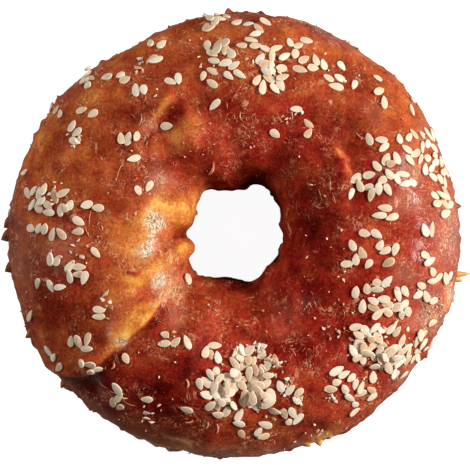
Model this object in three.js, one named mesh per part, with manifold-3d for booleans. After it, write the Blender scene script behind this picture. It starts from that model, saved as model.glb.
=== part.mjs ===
// A sesame bagel: one ring with a wrapped, folded crust, a ragged rim and sesame seeds baked on.
// Millimetres, +Z up. The ring lies flat on Z = 0 with its hole on the Z axis.
import * as THREE from "three";
import { mergeVertices } from "three/addons/utils/BufferGeometryUtils.js";
import Module from "manifold-3d";

// ---- Driving dimensions, in millimetres and degrees ----

// Radii seen from above, one for each 15 degrees round the ring, counter-clockwise from +X.
const CLOCK_STEP = 15;
const RIM_RADII = [
  49.4, 48.6, 49.2, 49.5, 48.9, 49.4, 49.2, 48.4, 47.5, 49.0, 49.3, 49.8,
  50.2, 50.1, 50.3, 49.7, 49.4, 49.1, 48.8, 48.3, 48.9, 49.1, 49.0, 49.6,
];
const HOLE_RADII = [
  10.0, 9.7, 10.7, 11.5, 12.1, 11.3, 10.0, 10.4, 11.6, 11.0, 10.0, 9.7,
  10.6, 10.5, 11.3, 11.5, 10.3, 9.1, 9.1, 10.1, 9.8, 9.1, 10.0, 9.5,
];
const CROWN_HEIGHT = 33.0; // mean height of the top of the roll
const CROWN_WAVE = 0.7; // how far the top rises and falls round the ring
const WAIST_HEIGHT = 15.5; // height of the widest point of the roll
const BASE_SINK = 1.3; // how far the round belly would reach below the flat it rests on
const ROUNDNESS = 2.2; // exponent of the roll's section: 2 is an ellipse, more is squarer
const ROLL_RADIUS = 19; // mean radius of the roll, used to measure along its section
const RELIEF_ENDS = 0.85; // relief fades out where the section's slope down passes this sine

// Where the sections of the surface are cut, in degrees: 0 is the rim, 90 the crown, 180 the hole.
const RING_STEPS = 90;
const TOP_SPAN = { from: -20, to: 200, steps: 19 };
const BELLY_ROWS = [200, 224, 248, 292, 309, 325];

// Low waves over the crust: turns round the ring, turns round the roll, height, start angle.
const CRUST_WAVES = [
  { ring: 3, roll: 1, height: 0.45, start: 40 },
  { ring: 5, roll: -2, height: 0.35, start: 200 },
  { ring: 8, roll: 1, height: 0.3, start: 130 },
  { ring: 11, roll: 3, height: 0.22, start: 300 },
  { ring: 17, roll: -2, height: 0.16, start: 75 },
];

// Edges of the wrapped layer. Each path is a list of [clock angle, section angle].
// The crust stands up by height on the raised side, and is pinched by groove on the other side.
// raised is +1 where the high side lies to the left of the path as it runs, and -1 for the right.
const FOLDS = [
  {
    name: "long wrap edge",
    path: [[193, 192], [198, 176], [215, 134], [224, 106], [223.5, 84], [223, 61], [223.5, 49], [220, 33], [216, 12], [211, -14]],
    height: 1.7, groove: 0.9, reach: 7, raised: -1,
  },
  {
    name: "crown ridge by the hole",
    path: [[64, 101], [51, 95], [41, 93], [32, 93], [23, 96], [14, 99], [5, 101]],
    height: 1.0, groove: 0.6, reach: 6, raised: -1,
  },
  {
    name: "short torn edge",
    path: [[139, 98], [135, 91], [127, 86.5], [119, 84.5], [112, 83]],
    height: 1.5, groove: 1.5, reach: 4, raised: 1,
  },
  {
    name: "crease beside the hole",
    path: [[178, 212], [180, 182], [182, 156], [183, 142]],
    height: 0.3, groove: 1.2, reach: 4, raised: 1,
  },
  {
    name: "upper rim edge",
    path: [[96, 8], [104, 24], [113, 36], [121, 30], [127, 10]],
    height: 0.8, groove: 0.5, reach: 5, raised: -1,
  },
  {
    name: "lower crown edge",
    path: [[-34, 128], [-48, 112], [-63, 104], [-78, 108], [-92, 122]],
    height: 0.8, groove: 0.5, reach: 6, raised: -1,
  },
  {
    name: "outer wall wrap edge",
    path: [[290, -28], [300, -4], [312, 20], [322, 44]],
    height: 0.9, groove: 0.5, reach: 6, raised: 1,
  },
  {
    name: "far wall wrap edge",
    path: [[60, -30], [68, -6], [79, 18], [88, 40]],
    height: 0.8, groove: 0.5, reach: 6, raised: 1,
  },
];
const FOLD_EDGE = 2.6; // how far a fold takes to step up
const FOLD_PINCH = 2.4; // how far its groove reaches
const FOLD_TAPER = 0.18; // share of the path over which a fold dies out at each end
const FOLD_SAMPLES = 28;

// Round swellings and dents: clock angle, section angle, radius, height.
const SWELLINGS = [
  { clock: 158, section: 146, radius: 5.2, height: 1.5 },
  { clock: 196, section: 150, radius: 4.0, height: 0.5 },
  { clock: 122, section: 96, radius: 5.0, height: -1.6 },
  { clock: 113, section: 108, radius: 5.5, height: 1.1 },
  { clock: 226, section: 37, radius: 4.6, height: -1.6 },
  { clock: 210, section: 96, radius: 9.0, height: 0.5 },
  { clock: 22, section: 66, radius: 9.0, height: 0.8 },
  { clock: 262, section: 78, radius: 10.0, height: 0.8 },
  { clock: 84, section: 62, radius: 9.0, height: 0.7 },
  { clock: 335, section: 76, radius: 9.0, height: 0.7 },
  { clock: 264, section: 160, radius: 4.0, height: -1.2 },
  { clock: 60, section: 164, radius: 4.0, height: -0.9 },
];

// Sesame seeds.
const SEED_LENGTH = 3.2;
const SEED_WIDTH = 2.0;
const SEED_RISE = 0.62; // how far a seed stands proud of the crust
const SEED_SUNK = 0.55; // how deep it is baked in
const SEED_SIDES = 6;
const SEED_TIP = 0.3; // how much the outline narrows towards the tip
const SEED_SPACING = 2.35; // least distance between the middles of two seeds that lie side by side
const SEED_SHARE = 0.38; // share of each patch that is modelled as solid seeds
const SEED_DRAW = 4711;
const SEED_TRIES = 60;

// Patches where seeds landed, seen from above: x, y, half length, half width, turn in degrees, seeds.
const SEED_PATCHES = [
  // top
  [-2.6, 47.3, 4.6, 1.2, -4, 7], [-6.4, 45.6, 1.4, 0.7, -20, 2], [4.8, 45.6, 2.4, 2.2, 0, 4],
  [3.8, 41.2, 2.6, 1.0, 0, 3], [-3.2, 40.4, 3.6, 1.8, 0, 7], [-5.6, 35.6, 2.2, 2.6, 0, 4],
  [-0.6, 36.4, 2.0, 2.6, 20, 4], [7.6, 38.0, 3.0, 2.8, 0, 8], [7.4, 33.6, 3.0, 2.2, 0, 7],
  [13.8, 40.6, 2.8, 2.6, -30, 5], [16.2, 37.2, 3.4, 1.2, 12, 4],
  // upper right
  [23.4, 34.6, 3.6, 2.6, -10, 5], [30.8, 32.4, 1.2, 4.2, 20, 3], [38.4, 28.0, 0.9, 2.4, -10, 3],
  [12.8, 27.5, 0.8, 0.5, 20, 2], [15.6, 22.4, 0.5, 2.0, 0, 2], [8.2, 22.2, 0.8, 1.2, 30, 2],
  [31.0, 20.6, 2.4, 1.6, -20, 3], [37.0, 20.8, 2.0, 2.4, -30, 4], [41.8, 21.6, 1.8, 2.0, -20, 4],
  [41.8, 16.6, 2.2, 2.6, 0, 6], [33.0, 16.6, 1.9, 1.0, 0, 3], [35.6, 12.2, 2.9, 1.4, -20, 5],
  [29.2, 11.0, 4.0, 2.2, -10, 8], [45.4, 12.4, 1.0, 2.4, 15, 3],
  // right
  [45.2, 7.6, 1.8, 2.8, 0, 7], [33.0, 4.4, 3.0, 1.8, -15, 4], [42.0, 1.4, 1.6, 0.6, 0, 2],
  [30.0, 0.3, 2.6, 0.4, 0, 2], [32.6, -3.8, 2.0, 2.4, 40, 4], [26.4, -5.6, 2.4, 2.4, 20, 4],
  [41.2, -4.4, 0.5, 1.5, 15, 2], [44.4, -9.0, 2.4, 1.2, 15, 4], [29.2, -11.0, 3.8, 1.6, 15, 6],
  [30.4, -15.2, 3.6, 1.7, -5, 7], [36.2, -14.4, 1.6, 2.8, 0, 6], [41.0, -12.4, 2.6, 1.9, -30, 4],
  // lower right
  [30.6, -20.2, 5.0, 0.9, -8, 6], [28.6, -24.0, 3.6, 2.8, 0, 13], [32.4, -26.6, 3.4, 2.6, 0, 12],
  [37.0, -24.8, 3.4, 2.8, 0, 11], [41.0, -23.4, 1.9, 2.8, 20, 7], [34.6, -30.2, 3.0, 0.6, -10, 3],
  [22.4, -31.4, 2.2, 2.6, 30, 4], [25.4, -33.6, 1.8, 1.8, 0, 4], [29.4, -32.8, 0.8, 2.4, 0, 3],
  [25.8, -38.0, 0.6, 1.4, 0, 2],
  // bottom
  [3.0, -27.0, 4.2, 1.9, -15, 10], [-4.4, -32.6, 3.4, 3.6, 0, 15], [2.8, -31.0, 4.6, 2.2, 0, 14],
  [4.4, -34.8, 3.8, 2.2, 0, 13], [-3.4, -37.0, 2.2, 1.6, 0, 5], [11.6, -33.8, 2.4, 1.6, -40, 4],
  [11.0, -38.9, 3.0, 1.4, -20, 5], [0.8, -40.6, 0.8, 2.6, 10, 3], [5.2, -42.2, 1.6, 1.8, 0, 3],
  [-5.2, -25.6, 1.4, 2.0, 0, 4], [-10.6, -37.4, 0.4, 0.4, 0, 1],
  // lower left
  [-13.6, -22.6, 3.6, 1.5, 0, 4], [-10.8, -9.7, 0.4, 0.4, 0, 1], [-19.5, -35.4, 0.4, 0.4, 0, 1],
  [-25.6, -35.6, 1.4, 3.0, 10, 4], [-23.9, -26.6, 0.4, 0.4, 0, 1], [-31.4, -28.0, 2.0, 1.1, 0, 4],
  [-39.4, -27.0, 2.8, 0.7, -50, 3], [-33.4, -23.2, 2.4, 1.4, -20, 4], [-29.7, -17.3, 0.4, 1.2, 0, 2],
  [-44.4, -17.2, 0.4, 0.4, 0, 1],
  // left
  [-40.4, -10.4, 4.0, 1.6, 10, 3], [-34.4, -7.8, 2.2, 1.8, -20, 5], [-39.2, -5.2, 1.5, 1.5, 0, 3],
  [-30.6, -3.6, 0.4, 0.4, 0, 1], [-34.4, 0.4, 0.8, 3.0, 0, 2], [-41.8, 1.2, 4.2, 1.4, -10, 5],
  [-40.4, 6.2, 4.8, 1.4, 0, 8], [-31.8, 6.6, 2.4, 0.8, 0, 2], [-41.4, 9.2, 4.2, 1.0, 0, 6],
  [-20.1, 10.0, 3.0, 0.5, 15, 2],
  // upper left
  [-22.2, 16.9, 0.4, 0.4, 0, 1], [-23.4, 21.4, 1.7, 1.0, 0, 3], [-35.4, 21.2, 1.2, 2.8, 10, 3],
  [-31.6, 26.8, 2.2, 0.7, -18, 2], [-38.6, 26.9, 2.0, 1.6, -40, 3], [-32.2, 34.0, 2.4, 0.9, 52, 5],
  [-25.4, 34.6, 3.2, 0.8, -5, 3], [-21.8, 31.4, 1.5, 0.7, -55, 2], [-13.8, 33.5, 2.0, 0.6, 25, 2],
  [-18.0, 38.2, 0.8, 0.8, 0, 2], [-17.8, 42.0, 2.6, 0.6, 0, 2], [-15.0, 24.0, 0.4, 0.4, 0, 1],
  [-4.6, 28.6, 0.4, 0.4, 0, 1], [-46.4, 14.0, 0.4, 0.6, 0, 1],
];
// A thin sprinkle low on the outer wall, from the rim downwards.
const WALL_SEEDS = { seeds: 26, section: [-34, 6] };

// Dry shreds that stick out at the rim: clock angle, section angle, length, width, lean.
const SHREDS = [
  { clock: 349.6, section: 2, length: 2.2, width: 1.1, lean: 14 },
  { clock: 190, section: -4, length: 1.6, width: 1.0, lean: -20 },
  { clock: 207, section: 4, length: 1.6, width: 1.2, lean: 10 },
  { clock: 232, section: 8, length: 1.3, width: 1.1, lean: -12 },
  { clock: 291, section: 4, length: 1.5, width: 2.0, lean: 0 },
  { clock: 57, section: 6, length: 1.2, width: 1.0, lean: 16 },
  { clock: 118, section: 6, length: 1.3, width: 1.2, lean: 8 },
];
const SHRED_THICKNESS = 0.8;
const SHRED_ROOT = 1.2; // how far a shred's root is buried

const SLIVER = 0.05; // edges shorter than this are merged away

const CRUST_COLOUR = 0x9c3a1c;

// ---- Small helpers ----

const radians = THREE.MathUtils.degToRad;
const clamp01 = (value) => THREE.MathUtils.clamp(value, 0, 1);
const smooth = (value) => clamp01(value) ** 2 * (3 - 2 * clamp01(value));
const signedPower = (value, power) => Math.sign(value) * Math.abs(value) ** power;

// The difference between two clock angles, from -180 to 180.
function turnBetween(a, b) {
  return ((((a - b) % 360) + 540) % 360) - 180;
}

// A number from 0 to 1 that repeats the same sequence for the same seed.
function seededRandom(seed) {
  let state = seed >>> 0;
  return () => {
    state = (Math.imul(state, 1664525) + 1013904223) >>> 0;
    return state / 4294967296;
  };
}

// A Catmull-Rom value between four neighbours.
function between(a, b, c, d, share) {
  const bend = 2 * a - 5 * b + 4 * c - d;
  const twist = 3 * (b - c) + d - a;
  return b + 0.5 * share * (c - a + share * (bend + share * twist));
}

// The radius at a clock angle, on a smooth closed curve through the listed radii.
function radiusAt(radii, clock) {
  const count = radii.length;
  const place = ((((clock % 360) + 360) % 360) / CLOCK_STEP);
  const first = Math.floor(place);
  const pick = (offset) => radii[(first + offset + count) % count];
  return between(pick(-1), pick(0), pick(1), pick(2), place - first);
}

// ---- The crust's surface ----

// A fold's path as closely spaced points, each with how strong the fold is there.
function samplePath(fold) {
  const controls = fold.path.map(([clock, section]) => new THREE.Vector2(clock, section));
  const curve = new THREE.SplineCurve(controls);
  return curve.getPoints(FOLD_SAMPLES).map((point, index) => {
    const along = index / FOLD_SAMPLES;
    const strength = smooth(Math.min(along, 1 - along) / FOLD_TAPER);
    return { clock: point.x, section: point.y, strength };
  });
}
const SAMPLED_FOLDS = FOLDS.map((fold) => ({ ...fold, samples: samplePath(fold) }));

// How far one fold lifts or pinches the crust at a place, in millimetres.
// Each stretch of the path is laid out flat from its own start, on the near side of the ring.
function foldLift(fold, clock, section, radius) {
  let best = { distance: Infinity };
  for (let i = 0; i < fold.samples.length - 1; i++) {
    const [here, next] = [fold.samples[i], fold.samples[i + 1]];
    const ax = radians(turnBetween(here.clock, clock)) * radius;
    const ay = radians(here.section - section) * ROLL_RADIUS;
    const dx = radians(next.clock - here.clock) * radius;
    const dy = radians(next.section - here.section) * ROLL_RADIUS;
    const share = clamp01(-(ax * dx + ay * dy) / (dx * dx + dy * dy));
    const distance = Math.hypot(ax + share * dx, ay + share * dy);
    if (distance < best.distance) {
      const side = Math.sign(dx * -ay - dy * -ax) * fold.raised;
      const strength = THREE.MathUtils.lerp(here.strength, next.strength, share);
      best = { distance, side, strength };
    }
  }
  const signed = best.distance * best.side;
  const step = smooth(signed / FOLD_EDGE + 0.5);
  const lift = fold.height * step * Math.exp(-Math.max(signed, 0) / fold.reach);
  const pinch = fold.groove * (1 - step) * Math.exp(-Math.max(-signed, 0) / FOLD_PINCH);
  return best.strength * (lift - pinch);
}

// How far a swelling or dent moves the crust at a place.
function swell(swelling, clock, section, radius) {
  const across = radians(turnBetween(swelling.clock, clock)) * radius;
  const down = radians(swelling.section - section) * ROLL_RADIUS;
  return swelling.height * Math.exp(-(across ** 2 + down ** 2) / swelling.radius ** 2 * 2);
}

// All the relief at a place. The waves leave the rim and the hole's edge as their radii say.
function reliefAt(clock, section, radius) {
  const slope = Math.sin(radians(section));
  const waves = CRUST_WAVES.reduce(
    (sum, { ring, roll, height, start }) =>
      sum + height * Math.sin(radians(ring * clock + roll * section + start)), 0,
  );
  const folds = SAMPLED_FOLDS.reduce((sum, fold) => sum + foldLift(fold, clock, section, radius), 0);
  const swellings = SWELLINGS.reduce((sum, one) => sum + swell(one, clock, section, radius), 0);
  const fade = 1 - smooth((-slope - RELIEF_ENDS / 2) / (RELIEF_ENDS / 2));
  return fade * (waves * Math.abs(slope) + folds + swellings);
}

// The point of the crust at a clock angle and a section angle.
function crustPoint(clock, section) {
  const rim = radiusAt(RIM_RADII, clock);
  const hole = radiusAt(HOLE_RADII, clock);
  const [middle, half] = [(rim + hole) / 2, (rim - hole) / 2];
  const crown = CROWN_HEIGHT + CROWN_WAVE * Math.sin(radians(2 * clock + 50))
    + 0.5 * CROWN_WAVE * Math.sin(radians(5 * clock));
  const [cos, sin] = [Math.cos(radians(section)), Math.sin(radians(section))];
  const out = half * signedPower(cos, 2 / ROUNDNESS);
  const reach = sin > 0 ? crown - WAIST_HEIGHT : WAIST_HEIGHT + BASE_SINK;
  const up = reach * signedPower(sin, 2 / ROUNDNESS);
  const relief = reliefAt(clock, section, middle + out);
  const radius = middle + out + relief * cos;
  const height = Math.max(WAIST_HEIGHT + up + relief * sin, 0);
  const angle = radians(clock);
  return new THREE.Vector3(radius * Math.cos(angle), radius * Math.sin(angle), height);
}

// The crust's point and its outward normal.
function crustFrame(clock, section) {
  const STEP = 0.8;
  const point = crustPoint(clock, section);
  const along = crustPoint(clock + STEP, section).sub(crustPoint(clock - STEP, section));
  const over = crustPoint(clock, section + STEP).sub(crustPoint(clock, section - STEP));
  return { point, along: along.clone().normalize(), normal: along.cross(over).normalize() };
}

// The section angle of the crust that is seen at a radius from above.
function sectionSeenAt(clock, radius) {
  let [low, high] = [0, 180];
  for (let i = 0; i < 24; i++) {
    const middle = (low + high) / 2;
    const point = crustPoint(clock, middle);
    if (Math.hypot(point.x, point.y) > radius) low = middle;
    else high = middle;
  }
  return (low + high) / 2;
}

// ---- Solids ----

const wasm = await Module();
wasm.setup();

// A manifold solid from points and triangles of point numbers.
function solidOf(points, triangles) {
  return new wasm.Manifold(new wasm.Mesh({
    numProp: 3,
    vertProperties: new Float32Array(points.flatMap((p) => [p.x, p.y, p.z])),
    triVerts: new Uint32Array(triangles.flat()),
  }));
}

// The section angles of the surface's rows: close together on top, wide under the belly.
function sectionRows() {
  const { from, to, steps } = TOP_SPAN;
  const top = Array.from({ length: steps }, (_, i) => from + ((to - from) * i) / steps);
  return [...top, ...BELLY_ROWS];
}

// The whole ring as one closed surface.
function ringSolid() {
  const rows = sectionRows();
  const points = [];
  for (let i = 0; i < RING_STEPS; i++)
    for (const section of rows) points.push(crustPoint((360 * i) / RING_STEPS, section));
  const number = (i, j) => (i % RING_STEPS) * rows.length + (j % rows.length);
  const triangles = [];
  for (let i = 0; i < RING_STEPS; i++)
    for (let j = 0; j < rows.length; j++) {
      triangles.push([number(i, j), number(i + 1, j), number(i + 1, j + 1)]);
      triangles.push([number(i, j), number(i + 1, j + 1), number(i, j + 1)]);
    }
  return solidOf(points, triangles);
}

// A flat pointed seed with few sides. Its tip points along the seed's own +X.
function seedSolid({ clock, section, heading }) {
  const { point, along, normal } = crustFrame(clock, section);
  const side = new THREE.Vector3().crossVectors(normal, along);
  const tip = along.clone().multiplyScalar(Math.cos(heading)).addScaledVector(side, Math.sin(heading));
  const wide = new THREE.Vector3().crossVectors(normal, tip);
  const points = [];
  for (let i = 0; i < SEED_SIDES; i++) {
    const turn = (2 * Math.PI * i) / SEED_SIDES;
    const narrow = 1 - SEED_TIP * Math.cos(turn);
    points.push(point.clone()
      .addScaledVector(tip, (SEED_LENGTH / 2) * Math.cos(turn))
      .addScaledVector(wide, (SEED_WIDTH / 2) * Math.sin(turn) * narrow * 1.1)
      .addScaledVector(normal, SEED_RISE * 0.35));
  }
  points.push(point.clone().addScaledVector(normal, SEED_RISE));
  points.push(point.clone().addScaledVector(normal, -SEED_SUNK));
  const triangles = [];
  for (let i = 0; i < SEED_SIDES; i++) {
    const next = (i + 1) % SEED_SIDES;
    triangles.push([i, next, SEED_SIDES]);
    triangles.push([next, i, SEED_SIDES + 1]);
  }
  return solidOf(points, triangles);
}

// Where the seeds lie: patch by patch, each on its own seeded draw, never closer than their spacing.
function seedPlaces() {
  const places = [];
  const clear = (x, y, z) =>
    places.every((other) => Math.hypot(other.x - x, other.y - y, other.z - z) > SEED_SPACING);
  const lay = (clock, section, heading) => {
    const { x, y, z } = crustPoint(clock, section);
    if (!clear(x, y, z)) return 0;
    places.push({ x, y, z, clock, section, heading });
    return 1;
  };
  SEED_PATCHES.forEach(([middleX, middleY, longHalf, wideHalf, turn, seeds], index) => {
    const random = seededRandom(SEED_DRAW + index);
    const wanted = Math.ceil(seeds * SEED_SHARE);
    let laid = 0;
    for (let i = 0; i < seeds * SEED_TRIES && laid < wanted; i++) {
      const [spread, angle, heading] = [Math.sqrt(random()), 2 * Math.PI * random(), 2 * Math.PI * random()];
      const [u, v] = [longHalf * spread * Math.cos(angle), wideHalf * spread * Math.sin(angle)];
      const [cos, sin] = [Math.cos(radians(turn)), Math.sin(radians(turn))];
      const [x, y] = [middleX + u * cos - v * sin, middleY + u * sin + v * cos];
      const clock = THREE.MathUtils.radToDeg(Math.atan2(y, x));
      laid += lay(clock, sectionSeenAt(clock, Math.hypot(x, y)), heading);
    }
  });
  const random = seededRandom(SEED_DRAW + SEED_PATCHES.length);
  const [low, high] = WALL_SEEDS.section;
  let laid = 0;
  for (let i = 0; i < WALL_SEEDS.seeds * SEED_TRIES && laid < WALL_SEEDS.seeds * SEED_SHARE; i++)
    laid += lay(360 * random(), low + (high - low) * random(), 2 * Math.PI * random());
  return places;
}

// A thin pointed strip of dried crust, rooted in the rim.
function shredSolid({ clock, section, length, width, lean }) {
  const { point, along, normal } = crustFrame(clock, section);
  const up = new THREE.Vector3().crossVectors(normal, along);
  const out = normal.clone().addScaledVector(along, Math.tan(radians(lean))).normalize();
  const root = point.clone().addScaledVector(normal, -SHRED_ROOT);
  const corners = [[-1, -1], [1, -1], [1, 1], [-1, 1]];
  const ring = (centre, scale) => corners.map(([a, b]) => centre.clone()
    .addScaledVector(along, (a * width * scale) / 2)
    .addScaledVector(up, (b * SHRED_THICKNESS * scale) / 2));
  const points = [...ring(root, 1.3), ...ring(point.clone().addScaledVector(out, length), 0.35)];
  const triangles = [[0, 2, 1], [0, 3, 2], [4, 5, 6], [4, 6, 7]];
  for (let i = 0; i < 4; i++) {
    const next = (i + 1) % 4;
    triangles.push([i, next, next + 4], [i, next + 4, i + 4]);
  }
  return solidOf(points, triangles);
}

// A manifold solid as a three.js geometry.
function geometryOf(solid) {
  const { vertProperties, triVerts } = solid.getMesh();
  const geometry = new THREE.BufferGeometry();
  geometry.setAttribute("position", new THREE.BufferAttribute(vertProperties, 3));
  geometry.setIndex(new THREE.BufferAttribute(triVerts, 1));
  const merged = mergeVertices(geometry, 1e-3);
  merged.computeVertexNormals();
  return merged;
}

// The outer shell of a solid, without any hollow sealed between seeds and without loose scraps.
function outerShell(solid) {
  return solid.decompose().reduce((best, shell) => (shell.volume() > best.volume() ? shell : best));
}

const ring = ringSolid();
const seeds = seedPlaces().map(seedSolid);
const shreds = SHREDS.map(shredSolid);
const whole = outerShell(wasm.Manifold.union([ring, ...seeds, ...shreds]).simplify(SLIVER));

const crust = new THREE.Mesh(
  geometryOf(whole),
  new THREE.MeshStandardMaterial({ color: CRUST_COLOUR, roughness: 0.35, metalness: 0 }),
);
crust.name = "bagel";

const bagel = new THREE.Group();
bagel.add(crust);
console.log(`bagel: ${seeds.length} seeds, ${whole.numTri()} triangles, ring ${ring.numTri()}`);
export default bagel;
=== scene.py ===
# %% [markdown]
# # A sesame bagel in Blender
#
# The bagel is one baked ring, about 100 mm across and 36 mm high. Its crust is red-brown, stringy and partly glazed,
# with a few wrapped folds, yellow patches where it stayed soft, and sesame seeds lying alone and in heaps.
#
# The lesson builds it from the outside in: the ring's form, the crust's fine relief, the seeds, the crumbs and
# loose fibres, and then a finish for each of them. Everything is placed by two angles on the ring, so that each
# piece sits on the crust that carries it.

# %% Load the frame
import math

import bpy
import numpy as np
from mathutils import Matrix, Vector, noise


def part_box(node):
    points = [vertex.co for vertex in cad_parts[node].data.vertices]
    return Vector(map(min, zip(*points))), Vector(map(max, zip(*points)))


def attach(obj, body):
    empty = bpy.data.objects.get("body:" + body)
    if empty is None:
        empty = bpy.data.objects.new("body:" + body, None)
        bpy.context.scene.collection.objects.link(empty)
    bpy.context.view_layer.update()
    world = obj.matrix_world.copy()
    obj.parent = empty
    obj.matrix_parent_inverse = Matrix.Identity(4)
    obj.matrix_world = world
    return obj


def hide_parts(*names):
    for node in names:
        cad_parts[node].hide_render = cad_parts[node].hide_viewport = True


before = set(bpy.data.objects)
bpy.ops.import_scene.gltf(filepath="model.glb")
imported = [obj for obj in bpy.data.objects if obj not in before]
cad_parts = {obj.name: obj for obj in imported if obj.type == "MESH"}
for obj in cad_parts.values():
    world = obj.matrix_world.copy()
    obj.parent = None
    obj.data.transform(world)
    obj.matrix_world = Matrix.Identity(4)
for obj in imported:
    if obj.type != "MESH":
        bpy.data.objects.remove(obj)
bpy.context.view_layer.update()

MM = 0.001
TINY = 1e-6  # keeps a division from failing
low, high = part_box("bagel")
print("the bagel's box in mm:", [round((b - a) / MM, 1) for a, b in zip(low, high)])

# %% [markdown]
# ## The ring's form
#
# A hand-rolled ring is never round. Its form could be sculpted on a torus, but then nobody could read its sizes.
# Here it is worked out instead: two closed curves give the rim's and the hole's radius at every clock angle, and
# a rounded section is drawn between them. These are the sizes of the ring, in millimetres and degrees.

# %% Sizes of the ring
CLOCK_STEP = 15  # degrees between two listed radii
RIM_RADII = np.array([
    49.4, 48.6, 49.2, 49.5, 48.9, 49.4, 49.2, 48.4, 47.5, 49.0, 49.3, 49.8,
    50.2, 50.1, 50.3, 49.7, 49.4, 49.1, 48.8, 48.3, 48.9, 49.1, 49.0, 49.6,
])
HOLE_RADII = np.array([
    10.0, 9.7, 10.7, 11.5, 12.1, 11.3, 10.0, 10.4, 11.6, 11.0, 10.0, 9.7,
    10.6, 10.5, 11.3, 11.5, 10.3, 9.1, 9.1, 10.1, 9.8, 9.1, 10.0, 9.5,
])
CROWN_HEIGHT, CROWN_WAVE = 33.0, 0.7  # the crown, and how far it rises and falls round the ring
WAIST_HEIGHT, BASE_SINK = 15.5, 1.3  # the widest line, and how far the section would reach into the table
ROUNDNESS = 2.2  # of the section: 2 is an ellipse, and more is squarer
ROLL_RADIUS = 19  # turns section angles into millimetres round the roll
RELIEF_ENDS = 0.85  # sine of the section angle where the underside's relief has faded out
print("mean rim radius", RIM_RADII.mean().round(1), "mean hole radius", HOLE_RADII.mean().round(1))

# %% [markdown]
# Low waves keep the crust from looking turned on a lathe. Each is a sine that runs a whole number of times round
# the ring and round the roll, so it closes on itself without a seam.

# %% Waves of the crust
CRUST_WAVES = [  # turns round the ring, turns round the roll, height, start angle
    (3, 1, 0.45, 40),
    (5, -2, 0.35, 200),
    (8, 1, 0.30, 130),
    (11, 3, 0.22, 300),
    (17, -2, 0.16, 75),
]

# %% [markdown]
# The crust was wrapped round the roll, and the wrap's edges show as low steps. A fold is a path over the surface:
# clock angle and section angle, where section 0 is the rim, 90 the crown and 180 the hole. The crust stands up by
# height on the raised side (+1 is left of the path) and dips by groove on the other.

# %% Folds and swellings
FOLDS = [
    # long wrap edge
    dict(path=[[193, 192], [198, 176], [215, 134], [224, 106], [223.5, 84], [223, 61], [223.5, 49], [220, 33],
               [216, 12], [211, -14]], height=1.7, groove=0.9, reach=7, raised=-1),
    # crown ridge by the hole
    dict(path=[[64, 101], [51, 95], [41, 93], [32, 93], [23, 96], [14, 99], [5, 101]],
         height=1.0, groove=0.6, reach=6, raised=-1),
    # short torn edge
    dict(path=[[139, 98], [135, 91], [127, 86.5], [119, 84.5], [112, 83]], height=1.5, groove=1.5, reach=4, raised=1),
    # crease beside the hole
    dict(path=[[178, 212], [180, 182], [182, 156], [183, 142]], height=0.3, groove=1.2, reach=4, raised=1),
    # upper rim edge
    dict(path=[[96, 8], [104, 24], [113, 36], [121, 30], [127, 10]], height=0.8, groove=0.5, reach=5, raised=-1),
    # lower crown edge
    dict(path=[[-34, 128], [-48, 112], [-63, 104], [-78, 108], [-92, 122]],
         height=0.8, groove=0.5, reach=6, raised=-1),
    # outer wall wrap edge
    dict(path=[[290, -28], [300, -4], [312, 20], [322, 44]], height=0.9, groove=0.5, reach=6, raised=1),
    # far wall wrap edge
    dict(path=[[60, -30], [68, -6], [79, 18], [88, 40]], height=0.8, groove=0.5, reach=6, raised=1),
]
FOLD_EDGE, FOLD_PINCH = 2.6, 2.4  # width of the step and of the groove beside it
FOLD_TAPER, FOLD_SAMPLES = 0.18, 28  # share of the path that fades at each end, and pieces of the path
SWELLINGS = [  # clock angle, section angle, radius, height; a dent has a height below zero
    (158, 146, 5.2, 1.5), (196, 150, 4, 0.5), (122, 96, 5, -1.6), (113, 108, 5.5, 1.1), (226, 37, 4.6, -1.6),
    (210, 96, 9, 0.5), (22, 66, 9, 0.8), (262, 78, 10, 0.8), (84, 62, 9, 0.7), (335, 76, 9, 0.7),
    (264, 160, 4, -1.2), (60, 164, 4, -0.9),
]
print(len(FOLDS), "folds and", len(SWELLINGS), "swellings")

# %% [markdown]
# A few small functions do the work. They take whole arrays of angles at once, because NumPy is then as quick
# with a hundred thousand points as with one.

# %% Small helpers
def turn_between(a, b):
    """The difference between two clock angles, from -180 to 180."""
    return (a - b + 180) % 360 - 180


def smooth(value):
    """0 below 0, 1 above 1, and a soft step between."""
    value = np.clip(value, 0, 1)
    return value**2 * (3 - 2 * value)


def signed_power(value, power):
    """A power that keeps the sign."""
    return np.sign(value) * np.abs(value) ** power


def between(a, b, c, d, share):
    """A Catmull-Rom value between four neighbours."""
    bend = 2 * a - 5 * b + 4 * c - d
    twist = 3 * (b - c) + d - a
    return b + 0.5 * share * (c - a + share * (bend + share * twist))


def radius_at(radii, clock):
    """The radius at a clock angle, on a smooth closed curve through the listed radii."""
    place = (clock % 360) / CLOCK_STEP
    first = np.floor(place).astype(int)
    around = [radii[(first + offset) % len(radii)] for offset in (-1, 0, 1, 2)]
    return between(*around, place - first)


def unit(vectors):
    """The same directions, each of length 1."""
    return vectors / np.linalg.norm(vectors, axis=-1, keepdims=True)


def from_angle(angle, length=1.0):
    """Points seen from above, at an angle in radians and a distance from the middle."""
    return np.stack([length * np.cos(angle), length * np.sin(angle)], axis=-1)


def east_at(clock):
    """The level direction round the ring, at clock angles."""
    return np.stack([-np.sin(np.radians(clock)), np.cos(np.radians(clock)), np.zeros(len(clock))], axis=-1)


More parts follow.
